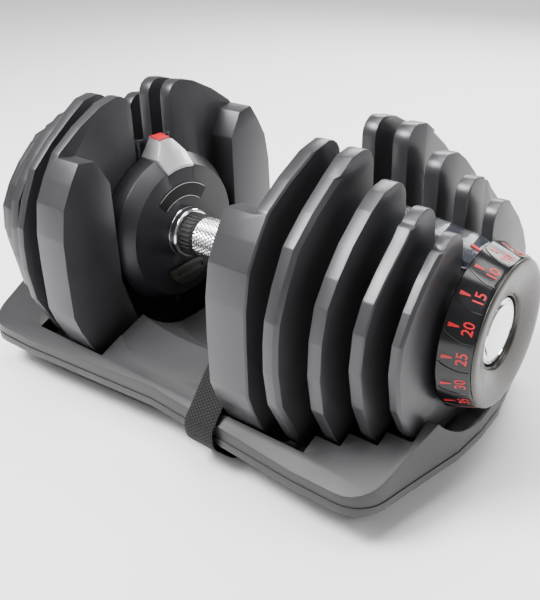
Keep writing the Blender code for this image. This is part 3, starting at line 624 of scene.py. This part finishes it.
def knurl_tree():
    """Small pyramids in staggered rows round a cylinder about the X axis."""
    tree, given, out = new_tree(
        "Knurling",
        "GeometryNodeTree",
        [
            ("Length", "NodeSocketFloat", 0.1),
            ("Radius", "NodeSocketFloat", 0.016),
            ("Around", "NodeSocketInt", 40),
            ("Along", "NodeSocketInt", 50),
            ("Height", "NodeSocketFloat", 0.0005),
            ("Centre", "NodeSocketVector", (0.0, 0.0, 0.0)),
            ("Material", "NodeSocketMaterial", None),
        ],
        [("Geometry", "NodeSocketGeometry")],
    )
    nodes, wires = tree.nodes, tree.links
    grid = add_node(tree, "GeometryNodeMeshGrid", {"Size Y": 1.0})
    wire(tree, given, "Length", grid, "Size X")
    wire(tree, given, "Along", grid, "Vertices X")
    wire(tree, given, "Around", grid, "Vertices Y")
    index = nodes.new("GeometryNodeInputIndex")
    column = math_node(tree, "DIVIDE", index.outputs[0], given.outputs["Around"])
    column = math_node(tree, "FLOOR", column)
    row = math_node(tree, "MODULO", index.outputs[0], given.outputs["Around"])
    stagger = math_node(tree, "MULTIPLY", math_node(tree, "MODULO", column, 2.0), 0.5)
    share = math_node(tree, "DIVIDE", math_node(tree, "ADD", row, stagger), given.outputs["Around"])
    turn = math_node(tree, "MULTIPLY", share, math.tau)
    place = nodes.new("GeometryNodeInputPosition")
    split = nodes.new("ShaderNodeSeparateXYZ")
    wire(tree, place, 0, split, 0)
    sine, cosine = math_node(tree, "SINE", turn), math_node(tree, "COSINE", turn)
    outwards = nodes.new("ShaderNodeCombineXYZ")
    wires.new(sine, outwards.inputs["Y"])
    wires.new(cosine, outwards.inputs["Z"])
    spot = nodes.new("ShaderNodeCombineXYZ")
    wire(tree, split, "X", spot, "X")
    wires.new(math_node(tree, "MULTIPLY", sine, given.outputs["Radius"]), spot.inputs["Y"])
    wires.new(math_node(tree, "MULTIPLY", cosine, given.outputs["Radius"]), spot.inputs["Z"])
    moved = nodes.new("GeometryNodeSetPosition")
    wire(tree, grid, "Mesh", moved, "Geometry")
    wire(tree, spot, "Vector", moved, "Position")
    wire(tree, given, "Centre", moved, "Offset")
    pyramid = add_node(tree, "GeometryNodeMeshCone", {"Vertices": 4, "Radius Top": 0.0})
    wire(tree, given, "Height", pyramid, "Depth")
    width = math_node(tree, "DIVIDE", given.outputs["Length"], given.outputs["Along"])
    wires.new(math_node(tree, "MULTIPLY", width, 1.05), pyramid.inputs["Radius Bottom"])
    aim = nodes.new("FunctionNodeAlignRotationToVector")
    aim.axis = "Z"
    wire(tree, outwards, "Vector", aim, "Vector")
    copies = nodes.new("GeometryNodeInstanceOnPoints")
    wire(tree, moved, "Geometry", copies, "Points")
    wire(tree, pyramid, "Mesh", copies, "Instance")
    wire(tree, aim, "Rotation", copies, "Rotation")
    painted(tree, given, out, copies)
    return tree


def grown(name, tree, **values):
    """The mesh that a Geometry Nodes tree makes with these inputs."""
    obj = link(name, bpy.data.meshes.new(name))
    modifier = obj.modifiers.new("Nodes", "NODES")
    modifier.node_group = tree
    sockets = {
        item.name: item.identifier for item in tree.interface.items_tree if item.in_out == "INPUT"
    }
    for label, value in values.items():
        modifier[sockets[label]] = value
    return applied(obj)


def ring_of(name, piece, count, start, material):
    """A ring of copies of a piece drawn about the X axis at the origin; the piece is then removed."""
    made = grown(
        name, bpy.data.node_groups["Ring of copies"], Piece=piece, Count=count, Start=start,
        Centre=(0.0, 0.0, AXIS_Z), Material=material,
    )
    bpy.data.objects.remove(piece, do_unlink=True)
    return made


# ---- pieces ----
class DumbbellPiece(bpy.types.Operator):
    """Base of the dumbbell's operators."""

    bl_options = {"REGISTER", "UNDO"}

    def execute(self, context):
        self.build(context.scene)
        return {"FINISHED"}


def round_outline_corners(mesh, width, fold=0.044):
    """Round the shallow corners of a plate's outline, which are edges along X."""
    graph = edit(mesh)
    corners = []
    for edge in graph.edges:
        a, b = (vertex.co for vertex in edge.verts)
        along = abs(a.x - b.x) > 0.004 and abs(a.y - b.y) < 1e-4 and abs(a.z - b.z) < 1e-4
        if along and abs(a.y) > fold and math.radians(4) < edge.calc_face_angle(0) < math.radians(50):
            corners.append(edge)
    bmesh.ops.bevel(
        graph, geom=corners, offset=width, segments=3, affect="EDGES", profile=0.5, clamp_overlap=True
    )
    bmesh.ops.remove_doubles(graph, verts=graph.verts, dist=0.0001)
    store(graph, mesh)


class DUMBBELL_OT_plates(DumbbellPiece):
    """Ten cast plates with rounded edges in a lighter colour, a painted highlight"""

    bl_idname = "dumbbell.plates"
    bl_label = "Plates"

    def build(self, scene):
        settings = scene.dumbbell_plates
        for end in ENDS:
            for number in range(1, 6):
                node = f"plate_{end}_{number}"
                plate = clean_copy(node, f"cast_plate_{end}_{number}")
                round_outline_corners(plate.data, settings.corner_round)
                # Slot 1 on the edge rounds holds the lighter colour: a painted highlight.
                plate = rounded(plate, settings.edge_width, 2, 35, 1)
                smooth(plate, 38)
                dress(plate, "plate plate_edge", node, (node,))


class DUMBBELL_OT_tray(DumbbellPiece):
    """Tray deck and pan with moulded edges, and the feet"""

    bl_idname = "dumbbell.tray"
    bl_label = "Tray"

    def build(self, scene):
        width = scene.dumbbell_tray.edge_width
        for node, material, edge in (("tray_deck", "tray", width), ("tray_pan", "pan", width * 0.7)):
            piece = clean_copy(node, f"moulded_{node}", weld=0.0004)
            piece = rounded(piece, edge, 3, 22)
            smooth(piece, 32)
            dress(piece, material, "tray", (node,))
        for place in ("front_left", "front_right", "rear_left", "rear_right"):
            repaint(f"foot_{place}", MATERIALS["rubber"])


class DUMBBELL_OT_handle(DumbbellPiece):
    """Knurled grip, fluted rings and chrome collars"""

    bl_idname = "dumbbell.handle"
    bl_label = "Handle"

    def build(self, scene):
        settings = scene.dumbbell_handle
        low, high = GRIP_BOX[0][0], GRIP_BOX[1][0]
        outer = radius_of(GRIP_BOX)
        bore = outer * 0.45
        round_x, core = 0.0012, outer - settings.knurl_height
        grip = turned(
            "grip_core",
            (
                (low, bore), (low, core - round_x), (low + round_x, core),
                (high - round_x, core), (high, core - round_x), (high, bore),
            ),
        )
        dress(smooth(grip), "knurled", "handle", ("grip_bar",))
        knurls = grown(
            "grip_knurling", knurl_tree(), Length=high - low - 4 * round_x, Radius=core,
            Around=settings.knurls_around, Along=settings.knurls_along,
            Height=settings.knurl_height, Centre=(0.0, 0.0, AXIS_Z), Material=MATERIALS["knurled"],
        )
        dress(knurls, "knurled", "handle")

        ring_low, ring_high = RING_BOX[0][0], RING_BOX[1][0]
        ring_r = radius_of(RING_BOX)
        for end in ENDS:
            core = turned(
                f"fluted_ring_core_{end}",
                (
                    (ring_low, bore), (ring_low, ring_r - 0.002), (ring_low + 0.001, ring_r - 0.001),
                    (ring_high, ring_r - 0.001), (ring_high, bore),
                ),
            )
            at_end(core.data, end)
            dress(smooth(core), "rubber", "handle", (f"ribbed_ring_{end}",))
            rib_r = ring_r - 0.0008
            rib = tube("rib", [(ring_low + 0.0012, 0, rib_r), (ring_high - 0.0004, 0, rib_r)], 0.0008)
            ribs = ring_of(f"fluted_ring_ribs_{end}", rib, settings.ribs, 0.0, MATERIALS["rubber"])
            at_end(ribs.data, end)
            dress(smooth(ribs), "rubber", "handle")
            collar_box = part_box("collar_right")
            c_low, c_high = collar_box[0][0], collar_box[1][0]
            c_r = radius_of(collar_box)
            edge = 0.0024
            profile = [(c_low, bore), (c_low, c_r - edge)]
            for i in range(1, 8):
                turn = math.pi / 2 * i / 7
                profile.append((c_low + edge * (1 - math.cos(turn)), c_r - edge * (1 - math.sin(turn))))
            profile += [
                (c_high - 0.0022, c_r), (c_high - 0.0018, c_r - 0.0006),
                (c_high - 0.0012, c_r - 0.0006), (c_high - 0.0008, c_r), (c_high, c_r), (c_high, bore),
            ]
            collar = turned(f"chrome_collar_{end}", profile)
            at_end(collar.data, end)
            dress(smooth(collar), "chrome", "handle", (f"collar_{end}",))
        repaint("shaft", MATERIALS["steel"])


class DUMBBELL_OT_housings(DumbbellPiece):
    """End housings, wedges, lock plates with screws and blank labels"""

    bl_idname = "dumbbell.housings"
    bl_label = "Housings"

    def build(self, scene):
        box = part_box("housing_right")
        face_x = box[0][0]
        for end in ENDS:
            for stem, material, slot, width in (
                ("housing", "housing", "housing_plastic", 0.0012),
                ("wedge", "wedge", "silver_plastic", 0.0010),
                ("lock_plate", "lock_plate", "lock_plate_metal", 0.0004),
            ):
                node = f"{stem}_{end}"
                piece = rounded(clean_copy(node, f"finished_{node}", weld=0.0001), width, 3, 28)
                smooth(piece, 35)
                dress(piece, material, "handle", (node,))
            self.label(end, face_x)
            self.seams(end, face_x)
            self.screws(end)

    def label(self, end, face_x):
        """A blank black arc label between two silver lines."""
        for name, inner, outer, half, rise, material in (
            ("blank_label", 0.0285, 0.0415, 42, 0.00025, "label"),
            ("label_line_top", 0.0402, 0.0406, 39, 0.00035, "label_mark"),
            ("label_line_foot", 0.0294, 0.0298, 39, 0.00035, "label_mark"),
        ):
            mesh = bpy.data.meshes.new(f"{name}_{end}")
            graph = bmesh.new()
            steps = 36
            rows = []
            for i in range(steps + 1):
                turn = math.radians(-half + 2 * half * i / steps)
                close = 1 - abs(2 * i / steps - 1) ** 12 * 0.35
                middle, reach = (inner + outer) / 2, (outer - inner) / 2 * close
                rows.append(
                    [
                        graph.verts.new((x, r * math.sin(turn), AXIS_Z + r * math.cos(turn)))
                        for x, r in (
                            (face_x + 0.0001, middle - reach), (face_x + 0.0001, middle + reach),
                            (face_x - rise, middle + reach), (face_x - rise, middle - reach),
                        )
                    ]
                )
            skin(graph, rows, closed=False)
            graph.faces.new(rows[0])
            graph.faces.new(rows[-1])
            bmesh.ops.recalc_face_normals(graph, faces=graph.faces)
            store(graph, mesh)
            piece = link(f"{name}_{end}", at_end(mesh, end))
            dress(piece, material, "handle")

    def seams(self, end, face_x):
        """The wedge's parting lines, which run on down the housing's face."""
        graph = bmesh.new()
        for side in (-1, 1):
            corners = ((0.0138, 0.0532), (0.0144, 0.0532), (0.0134, 0.0420), (0.0128, 0.0420))
            ring = [graph.verts.new((face_x - 0.0001, side * y, AXIS_Z + z)) for y, z in corners]
            foot = [graph.verts.new((face_x + 0.0003, side * y, AXIS_Z + z)) for y, z in corners]
            graph.faces.new(ring)
            graph.faces.new(foot[::-1])
            for i in range(4):
                j = (i + 1) % 4
                graph.faces.new((ring[j], ring[i], foot[i], foot[j]))
        bmesh.ops.recalc_face_normals(graph, faces=graph.faces)
        mesh = bpy.data.meshes.new(f"housing_seams_{end}")
        store(graph, mesh)
        piece = link(mesh.name, at_end(mesh, end))
        dress(piece, "seam", "handle")

    def screws(self, end):
        """Two screws sunk deep in the lock plate's holes."""
        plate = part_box("lock_plate_right")
        x = plate[0][0] + 0.0008
        for index, y in enumerate((-0.0135, 0.0135)):
            z = -0.035
            head = turned(
                f"lock_plate_screw_{end}_{index + 1}",
                (
                    (x + 0.0014, 0.0), (x + 0.0014, 0.0017), (x + 0.0005, 0.0017),
                    (x + 0.0003, 0.0014), (x + 0.0003, 0.0007), (x + 0.0009, 0.0006), (x + 0.0009, 0.0),
                ),
                24,
            )
            head.data.transform(Matrix.Translation((0, y, z)))
            at_end(head.data, end)
            dress(smooth(head), "steel", "handle")


class DUMBBELL_OT_bridges(DumbbellPiece):
    """Clear bridges with their red pointers"""

    bl_idname = "dumbbell.bridges"
    bl_label = "Bridges"

    def build(self, scene):
        for end in ENDS:
            node = f"bridge_{end}"
            bridge = rounded(clean_copy(node, f"clear_bridge_{end}"), 0.0007, 3, 25)
            dress(smooth(bridge), "clear", "handle", (node,))
            node = f"pointer_{end}"
            pointer = clean_copy(node, f"red_pointer_{end}")
            pointer.data.transform(Matrix.Diagonal((1.0, 0.30, 1.0, 1.0)))
            pointer = rounded(pointer, 0.0002, 2, 25)
            dress(smooth(pointer), "number", "handle", (node,))
            self.marker(end)

    def marker(self, end):
        """A plain red marker on the crest of the wedge."""
        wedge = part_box("wedge_right")
        front, back, top = wedge[0][0], wedge[1][0], wedge[1][2]
        strip = bpy.data.meshes.new(f"bridge_strip_{end}")
        graph = bmesh.new()
        bmesh.ops.create_cube(graph, size=1.0)
        bmesh.ops.scale(graph, vec=(0.0110, 0.0118, 0.0010), verts=graph.verts)
        bmesh.ops.rotate(graph, matrix=Matrix.Rotation(math.radians(-8.5), 3, "Y"), verts=graph.verts)
        bmesh.ops.translate(graph, vec=((front + back) / 2 + 0.0075, 0, top - 0.0007), verts=graph.verts)
        store(graph, strip)
        piece = rounded(link(strip.name, at_end(strip, end)), 0.0004, 2)
        dress(smooth(piece), "number", "handle")


def dial_radius(x, turn, scallop):
    """Radius of the number ring's surface at a place along the axis and a turn from the top."""
    share = (x - DIAL_LOW_X) / (DIAL_HIGH_X - DIAL_LOW_X)
    edge = abs(2 * share - 1) ** 6
    hollow = scallop * (0.5 + 0.5 * math.cos(turn / FACET * math.tau)) * (1 - 0.8 * edge)
    return DIAL_LOW_R + (DIAL_HIGH_R - DIAL_LOW_R) * share - hollow


def wrap_on_dial(mesh, facet_turn, scallop, lift):
    """Bend a flat mesh on to the ring: its X runs up the facet, its Y inboard, its Z outwards."""
    middle = (DIAL_LOW_X + DIAL_HIGH_X) / 2
    for vertex in mesh.vertices:
        along, inboard, out = vertex.co
        x = middle - inboard
        turn = facet_turn - along / PRINT_BEND_R
        radius = dial_radius(x, turn, scallop) + out + lift
        vertex.co = (x, -radius * math.sin(turn), AXIS_Z + radius * math.cos(turn))


class DUMBBELL_OT_dials(DumbbellPiece):
    """Dials with their numbers, ticks, ridges, caps and badges"""

    bl_idname = "dumbbell.dials"
    bl_label = "Dials"

    def build(self, scene):
        settings = scene.dumbbell_dial
        for end in ENDS:
            body = f"dial_{end}"
            ring = self.ring(end, settings.scallop)
            dress(ring, "dial", body, (f"dial_{end}",))
            self.prints(end, settings)
            self.ridges(end, settings.scallop)
            self.cap(end)

    def ring(self, end, scallop):
        """The scalloped number ring, closed behind."""
        low, high = DIAL_LOW_X, DIAL_HIGH_X
        columns = len(SETTINGS) * 12
        outer_x = [low + 0.0008 + (high - low - 0.0014) * i / 10 for i in range(11)]
        mesh = bpy.data.meshes.new(f"number_ring_{end}")
        graph = bmesh.new()
        loops = []
        for step in range(columns):
            turn = math.tau * step / columns
            sweep = [(low, dial_radius(low, turn, scallop) - 0.0008)]
            sweep += [(x, dial_radius(x, turn, scallop)) for x in outer_x]
            sweep += [(high, dial_radius(high, turn, scallop) - 0.0006), (high, 0.0473)]
            sweep += [(low + 0.0125, 0.0460), (low + 0.0055, 0.0140)]
            sweep += [(low + 0.0055, 0.0075), (low, 0.0075)]
            sine, cosine = math.sin(turn), math.cos(turn)
            loops.append([graph.verts.new((x, -r * sine, AXIS_Z + r * cosine)) for x, r in sweep])
        skin(graph, loops)
        bmesh.ops.recalc_face_normals(graph, faces=graph.faces)
        store(graph, mesh)
        return smooth(link(mesh.name, at_end(mesh, end)), 40)

    def prints(self, end, settings):
        """Numbers and tapered ticks, one mesh a dial."""
        graph = bmesh.new()
        for index, value in enumerate(SETTINGS):
            turn = (index + 1) * FACET
            font = bpy.data.curves.new("number", "FONT")
            font.body = str(value)
            font.size = settings.number_height * FONT_PER_DIGIT
            font.align_x = "CENTER"
            font.extrude = PRINT_DEPTH
            font.offset = 0.00010
            font.resolution_u = 4
            text = applied(link("number", font))
            text.data.transform(Matrix.Translation((0, -0.0072, 0)))
            self.split_long_edges(text.data)
            wrap_on_dial(text.data, turn, settings.scallop, PRINT_LIFT)
            graph.from_mesh(text.data)
            bpy.data.objects.remove(text, do_unlink=True)
            tick = bpy.data.meshes.new("tick")
            flat = bmesh.new()
            corners = [(-0.0005, 0.0010), (0.0005, 0.0010), (0.0014, 0.0072), (-0.0014, 0.0072)]
            face = flat.faces.new([flat.verts.new((x, y, PRINT_DEPTH)) for x, y in corners])
            foot = bmesh.ops.extrude_face_region(flat, geom=[face])
            moved = [item for item in foot["geom"] if isinstance(item, bmesh.types.BMVert)]
            bmesh.ops.translate(flat, vec=(0, 0, -2 * PRINT_DEPTH), verts=moved)
            bmesh.ops.recalc_face_normals(flat, faces=flat.faces)
            store(flat, tick)
            wrap_on_dial(tick, turn, settings.scallop, PRINT_LIFT)
            graph.from_mesh(tick)
        mesh = bpy.data.meshes.new(f"dial_numbers_{end}")
        bmesh.ops.recalc_face_normals(graph, faces=graph.faces)
        store(graph, mesh)
        piece = link(mesh.name, at_end(mesh, end))
        dress(piece, "number", f"dial_{end}")

    def split_long_edges(self, mesh):
        """Cut long edges, so that a flat glyph can bend on to the ring."""
        graph = edit(mesh)
        bmesh.ops.triangulate(graph, faces=graph.faces)
        long = [edge for edge in graph.edges if edge.calc_length() > 0.0015]
        bmesh.ops.subdivide_edges(graph, edges=long, cuts=2)
        bmesh.ops.triangulate(graph, faces=graph.faces)
        bmesh.ops.remove_doubles(graph, verts=graph.verts, dist=1e-6)
        store(graph, mesh)

    def ridges(self, end, scallop):
        """A curved ridge beside each number, as a ring of copies."""
        reach = DIAL_HIGH_X - DIAL_LOW_X
        points = []
        for i in range(13):
            share = i / 12
            x = DIAL_HIGH_X - 0.0012 - (reach - 0.0026) * share
            turn = (0.16 + 0.30 * min(1.0, (1.0 - share) * 1.5) ** 0.7) * FACET
            r = dial_radius(x, turn, scallop)
            points.append((x, -r * math.sin(turn), r * math.cos(turn)))
        line = tube("ridge", points, 0.00042)
        ring = ring_of(f"dial_ridge_{end}", line, len(SETTINGS), 0.0, MATERIALS["dial"])
        at_end(ring.data, end)
        dress(smooth(ring), "dial", f"dial_{end}")

    def cap(self, end):
        """Crowned cap ring with a groove, and the chrome badge with a groove round its coned face."""
        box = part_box("dial_cap_right")
        low, high = box[0][0], box[1][0]
        outer = radius_of(box)
        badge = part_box("badge_right")
        badge_x, badge_r = badge[1][0], radius_of(badge)
        profile = [(DIAL_HIGH_X + 0.0003, 0.0468), (DIAL_HIGH_X + 0.0003, outer)]
        crown_r, crown_x = 0.0036, high - DIAL_HIGH_X - 0.0004
        for i in range(9):
            turn = math.pi / 2 * i / 8
            profile.append(
                (high - crown_x * (1 - math.sin(turn)), outer - crown_r * (1 - math.cos(turn)))
            )
        steps = 14
        inner = badge_r + 0.0032
        for i in range(1, steps + 1):
            share = i / steps
            r = (outer - crown_r) + (inner - outer + crown_r) * share
            profile.append((high - 0.0052 * share ** 1.5, r))
        profile += [
            (high - 0.0058, inner - 0.0004), (high - 0.0066, inner - 0.0008),
            (high - 0.0064, inner - 0.0016), (high - 0.0068, badge_r + 0.0012),
            (low + 0.001, badge_r + 0.0012), (low, 0.0350), (low + 0.004, 0.0450),
        ]
        cap = turned(f"cap_ring_{end}", profile, 128)
        at_end(cap.data, end)
        dress(smooth(cap, 40), "cap", f"dial_{end}", (f"dial_cap_{end}",))

        face = [(badge[0][0], 0.0), (badge[0][0], badge_r), (badge_x - 0.0014, badge_r)]
        for i in range(1, 7):
            turn = math.pi / 2 * i / 6
            rim = badge_r - 0.0014 + 0.0014 * math.cos(turn)
            face.append((badge_x - 0.0014 + 0.0010 * math.sin(turn), rim))
        face += [(badge_x - 0.0012, badge_r - 0.0022), (badge_x - 0.0012, badge_r - 0.0040)]
        face += [(badge_x - 0.0002 * i, badge_r * 0.8 * (1 - i / 6)) for i in range(7)]
        disc = turned(f"chrome_badge_{end}", face, 96)
        at_end(disc.data, end)
        dress(smooth(disc, 40), "chrome", f"dial_{end}", (f"badge_{end}",))


class DUMBBELL_OT_inner_parts(DumbbellPiece):
    """Steel on the selector discs, sleeves, pins and nuts, and the lock pins' springs"""

    bl_idname = "dumbbell.inner_parts"
    bl_label = "Inner parts"

    def build(self, scene):
        for end in ENDS:
            for number in range(1, 6):
                repaint(f"selector_{end}_{number}", MATERIALS["steel"])
            for stem in ("dial_sleeve", "end_nut", "lock_pin"):
                repaint(f"{stem}_{end}", MATERIALS["steel"])
            self.spring(end)

    def spring(self, end):
        """The lock pin's spring, copied from its CAD mesh and shaded smooth."""
        node = f"lock_spring_{end}"
        spring = smooth(clean_copy(node, f"coil_spring_{end}", weld=1e-6, flat=0.01))
        dress(spring, "steel", "handle", (node,))
        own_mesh(spring)


def strap_route(steps):
    """Middle line of the strap in the y-z plane, once round, and its length."""
    lip_y = STRAP_BOX[1][1] - 0.0014
    top = STRAP_BOX[1][2] - 0.0012
    over = 0.0235
    corners = [
        (0.0, 0.0017), (0.093, 0.0017), (0.1005, 0.0050), (lip_y - 0.0006, 0.0255), (lip_y, 0.0400),
        (0.1140, 0.0455), (0.0232, AXIS_Z + 0.0148),
    ]
    for i in range(1, 6):
        turn = math.radians(25 + 65 * i / 5)
        corners.append((over * math.cos(turn), min(top, AXIS_Z + over * math.sin(turn))))
    full = corners + [(-y, z) for y, z in reversed(corners[1:-1])]
    lengths = [math.dist(a, b) for a, b in zip(full, full[1:] + full[:1])]
    total = sum(lengths)
    points = []
    for step in range(steps):
        target = total * step / steps
        i = 0
        while target > lengths[i]:
            target -= lengths[i]
            i += 1
        a, b = full[i], full[(i + 1) % len(full)]
        share = target / lengths[i]
        points.append((a[0] + (b[0] - a[0]) * share, a[1] + (b[1] - a[1]) * share))
    eased = []
    for i in range(steps):
        near = [points[(i + k) % steps] for k in (-2, -1, 0, 1, 2)]
        eased.append((sum(p[0] for p in near) / 5, sum(p[1] for p in near) / 5))
    return eased, total


class DUMBBELL_OT_strap(DumbbellPiece):
    """Black webbing strap round the tray and over the grip"""

    bl_idname = "dumbbell.strap"
    bl_label = "Securing strap"

    def build(self, scene):
        settings = scene.dumbbell_strap
        steps, across = STRAP_STEPS, STRAP_ACROSS
        route, length = strap_route(steps)
        lip_x = (STRAP_BOX[1][0] - STRAP_WIDTH / 2) - 0.0003
        mesh = bpy.data.meshes.new("webbing_strap")
        graph = bmesh.new()
        uv_layer = graph.loops.layers.uv.new("Along the strap")
        rings = []
        for i, (y, z) in enumerate(route):
            before, after = route[i - 1], route[(i + 1) % steps]
            along = Vector((after[0] - before[0], after[1] - before[1])).normalized()
            out = Vector((along.y, -along.x))
            ring = []
            for side in (1, -1):
                for k in range(across + 1):
                    u = k / across if side == 1 else 1 - k / across
                    edge = 1 - abs(2 * u - 1) ** 8 * 0.6
                    offset = side * STRAP_THICK / 2 * edge
                    lean = STRAP_LEAN * max(0.0, z - STRAP_LEAN_FROM)
                    x = lip_x + STRAP_WIDTH * (u - 0.5) - lean
                    ring.append(graph.verts.new((x, y + out.x * offset, z + out.y * offset)))
            rings.append(ring)
        count = len(rings[0])
        for index, face in enumerate(skin(graph, rings)):
            i, k = divmod(index, count)
            u0, u1 = (
                m / across if m <= across else 1 - (m - across - 1) / across
                for m in (k, (k + 1) % count)
            )
            v0, v1 = i / steps, (i + 1) / steps
            for loop, value in zip(face.loops, ((u0, v0), (u1, v0), (u1, v1), (u0, v1))):
                loop[uv_layer].uv = value
        bmesh.ops.recalc_face_normals(graph, faces=graph.faces)
        store(graph, mesh)
        strap = smooth(link(mesh.name, mesh), 60)
        MATERIALS["webbing"] = webbing_material(settings, length)
        dress(strap, "webbing", "tray", ("securing_strap",))
        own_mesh(strap)


class DUMBBELL_OT_stage(DumbbellPiece):
    """Pale floor, soft lights and the camera"""

    bl_idname = "dumbbell.stage"
    bl_label = "Stage"

    def build(self, scene):
        self.floor()
        self.lights(scene)
        self.camera(scene)

    def floor(self):
        mesh = bpy.data.meshes.new("studio_floor")
        graph = bmesh.new()
        bmesh.ops.create_grid(graph, x_segments=1, y_segments=1, size=6.0)
        store(graph, mesh)
        floor = link("studio_floor", mesh)
        material, _, shader = new_material("Pale floor", 0.9)
        shader.inputs["Base Color"].default_value = (0.93, 0.93, 0.93, 1.0)
        shader.inputs["Specular IOR Level"].default_value = 0.1
        mesh.materials.append(material)

    def lights(self, scene):
        world = bpy.data.worlds.new("Studio")
        scene.world = world
        world.use_nodes = True
        shader = world.node_tree.nodes["Background"]
        shader.inputs["Color"].default_value = (1.0, 1.0, 1.0, 1.0)
        shader.inputs["Strength"].default_value = 0.35
        for name, place, size, power in LIGHTS:
            light = bpy.data.lights.new(name, "AREA")
            light.shape = "RECTANGLE"
            light.size, light.size_y = size
            light.energy = power
            lamp = bpy.data.objects.new(name, light)
            lamp.location = place
            aim = Vector((0.0, 0.0, AXIS_Z)) - Vector(place)
            lamp.rotation_mode = "QUATERNION"
            lamp.rotation_quaternion = aim.to_track_quat("-Z", "Y")
            scene.collection.objects.link(lamp)

        sun = bpy.data.lights.new("soft_sun", "SUN")
        sun.energy = SUN_POWER
        sun.angle = math.radians(SUN_SPREAD)
        lamp = bpy.data.objects.new("soft_sun", sun)
        lamp.rotation_euler = (*(math.radians(turn) for turn in SUN_TURN), 0)
        scene.collection.objects.link(lamp)

    def camera(self, scene):
        azimuth, elevation, roll = (math.radians(angle) for angle in CAMERA_ANGLES)
        back = Vector(
            (
                math.sin(azimuth) * math.cos(elevation),
                -math.cos(azimuth) * math.cos(elevation),
                math.sin(elevation),
            )
        )
        level = Vector((math.cos(azimuth), math.sin(azimuth), 0.0))
        over = back.cross(level)
        right = level * math.cos(roll) + over * math.sin(roll)
        up = over * math.cos(roll) - level * math.sin(roll)
        data = bpy.data.cameras.new("studio_camera")
        data.lens = CAMERA_LENS
        data.sensor_width = 36.0
        data.clip_start = 0.01
        camera = bpy.data.objects.new("studio_camera", data)
        turn = Matrix((right, up, back)).transposed()
        place = Matrix.Translation(Vector(CAMERA_TARGET) + back * CAMERA_DISTANCE)
        camera.matrix_world = place @ turn.to_4x4()
        scene.collection.objects.link(camera)
        scene.camera = camera


class DUMBBELL_PT_panel(bpy.types.Panel):
    """The dumbbell's operators and settings"""

    bl_label = "Dumbbell"
    bl_idname = "DUMBBELL_PT_panel"
    bl_space_type = "VIEW_3D"
    bl_region_type = "UI"
    bl_category = "Dumbbell"

    def draw(self, context):
        for operator in PIECES:
            self.layout.operator(operator.bl_idname)
        for name, group in SETTING_GROUPS.items():
            box = self.layout.box()
            for key in group.__annotations__:
                box.prop(getattr(context.scene, name), key)


PIECES = (
    DUMBBELL_OT_stage,
    DUMBBELL_OT_plates,
    DUMBBELL_OT_tray,
    DUMBBELL_OT_handle,
    DUMBBELL_OT_housings,
    DUMBBELL_OT_bridges,
    DUMBBELL_OT_dials,
    DUMBBELL_OT_inner_parts,
    DUMBBELL_OT_strap,
)
CLASSES = (*SETTING_GROUPS.values(), *PIECES, DUMBBELL_PT_panel)


def register():
    for item in CLASSES:
        bpy.utils.register_class(item)
    for name, group in SETTING_GROUPS.items():
        setattr(bpy.types.Scene, name, PointerProperty(type=group))


def unregister():
    for name in SETTING_GROUPS:
        delattr(bpy.types.Scene, name)
    for item in reversed(CLASSES):
        bpy.utils.unregister_class(item)


def main():
    register()
    MATERIALS.update(make_materials())
    ring_tree()
    for operator in PIECES:
        group, action = operator.bl_idname.split(".")
        getattr(getattr(bpy.ops, group), action)()


if __name__ == "__main__":
    main()
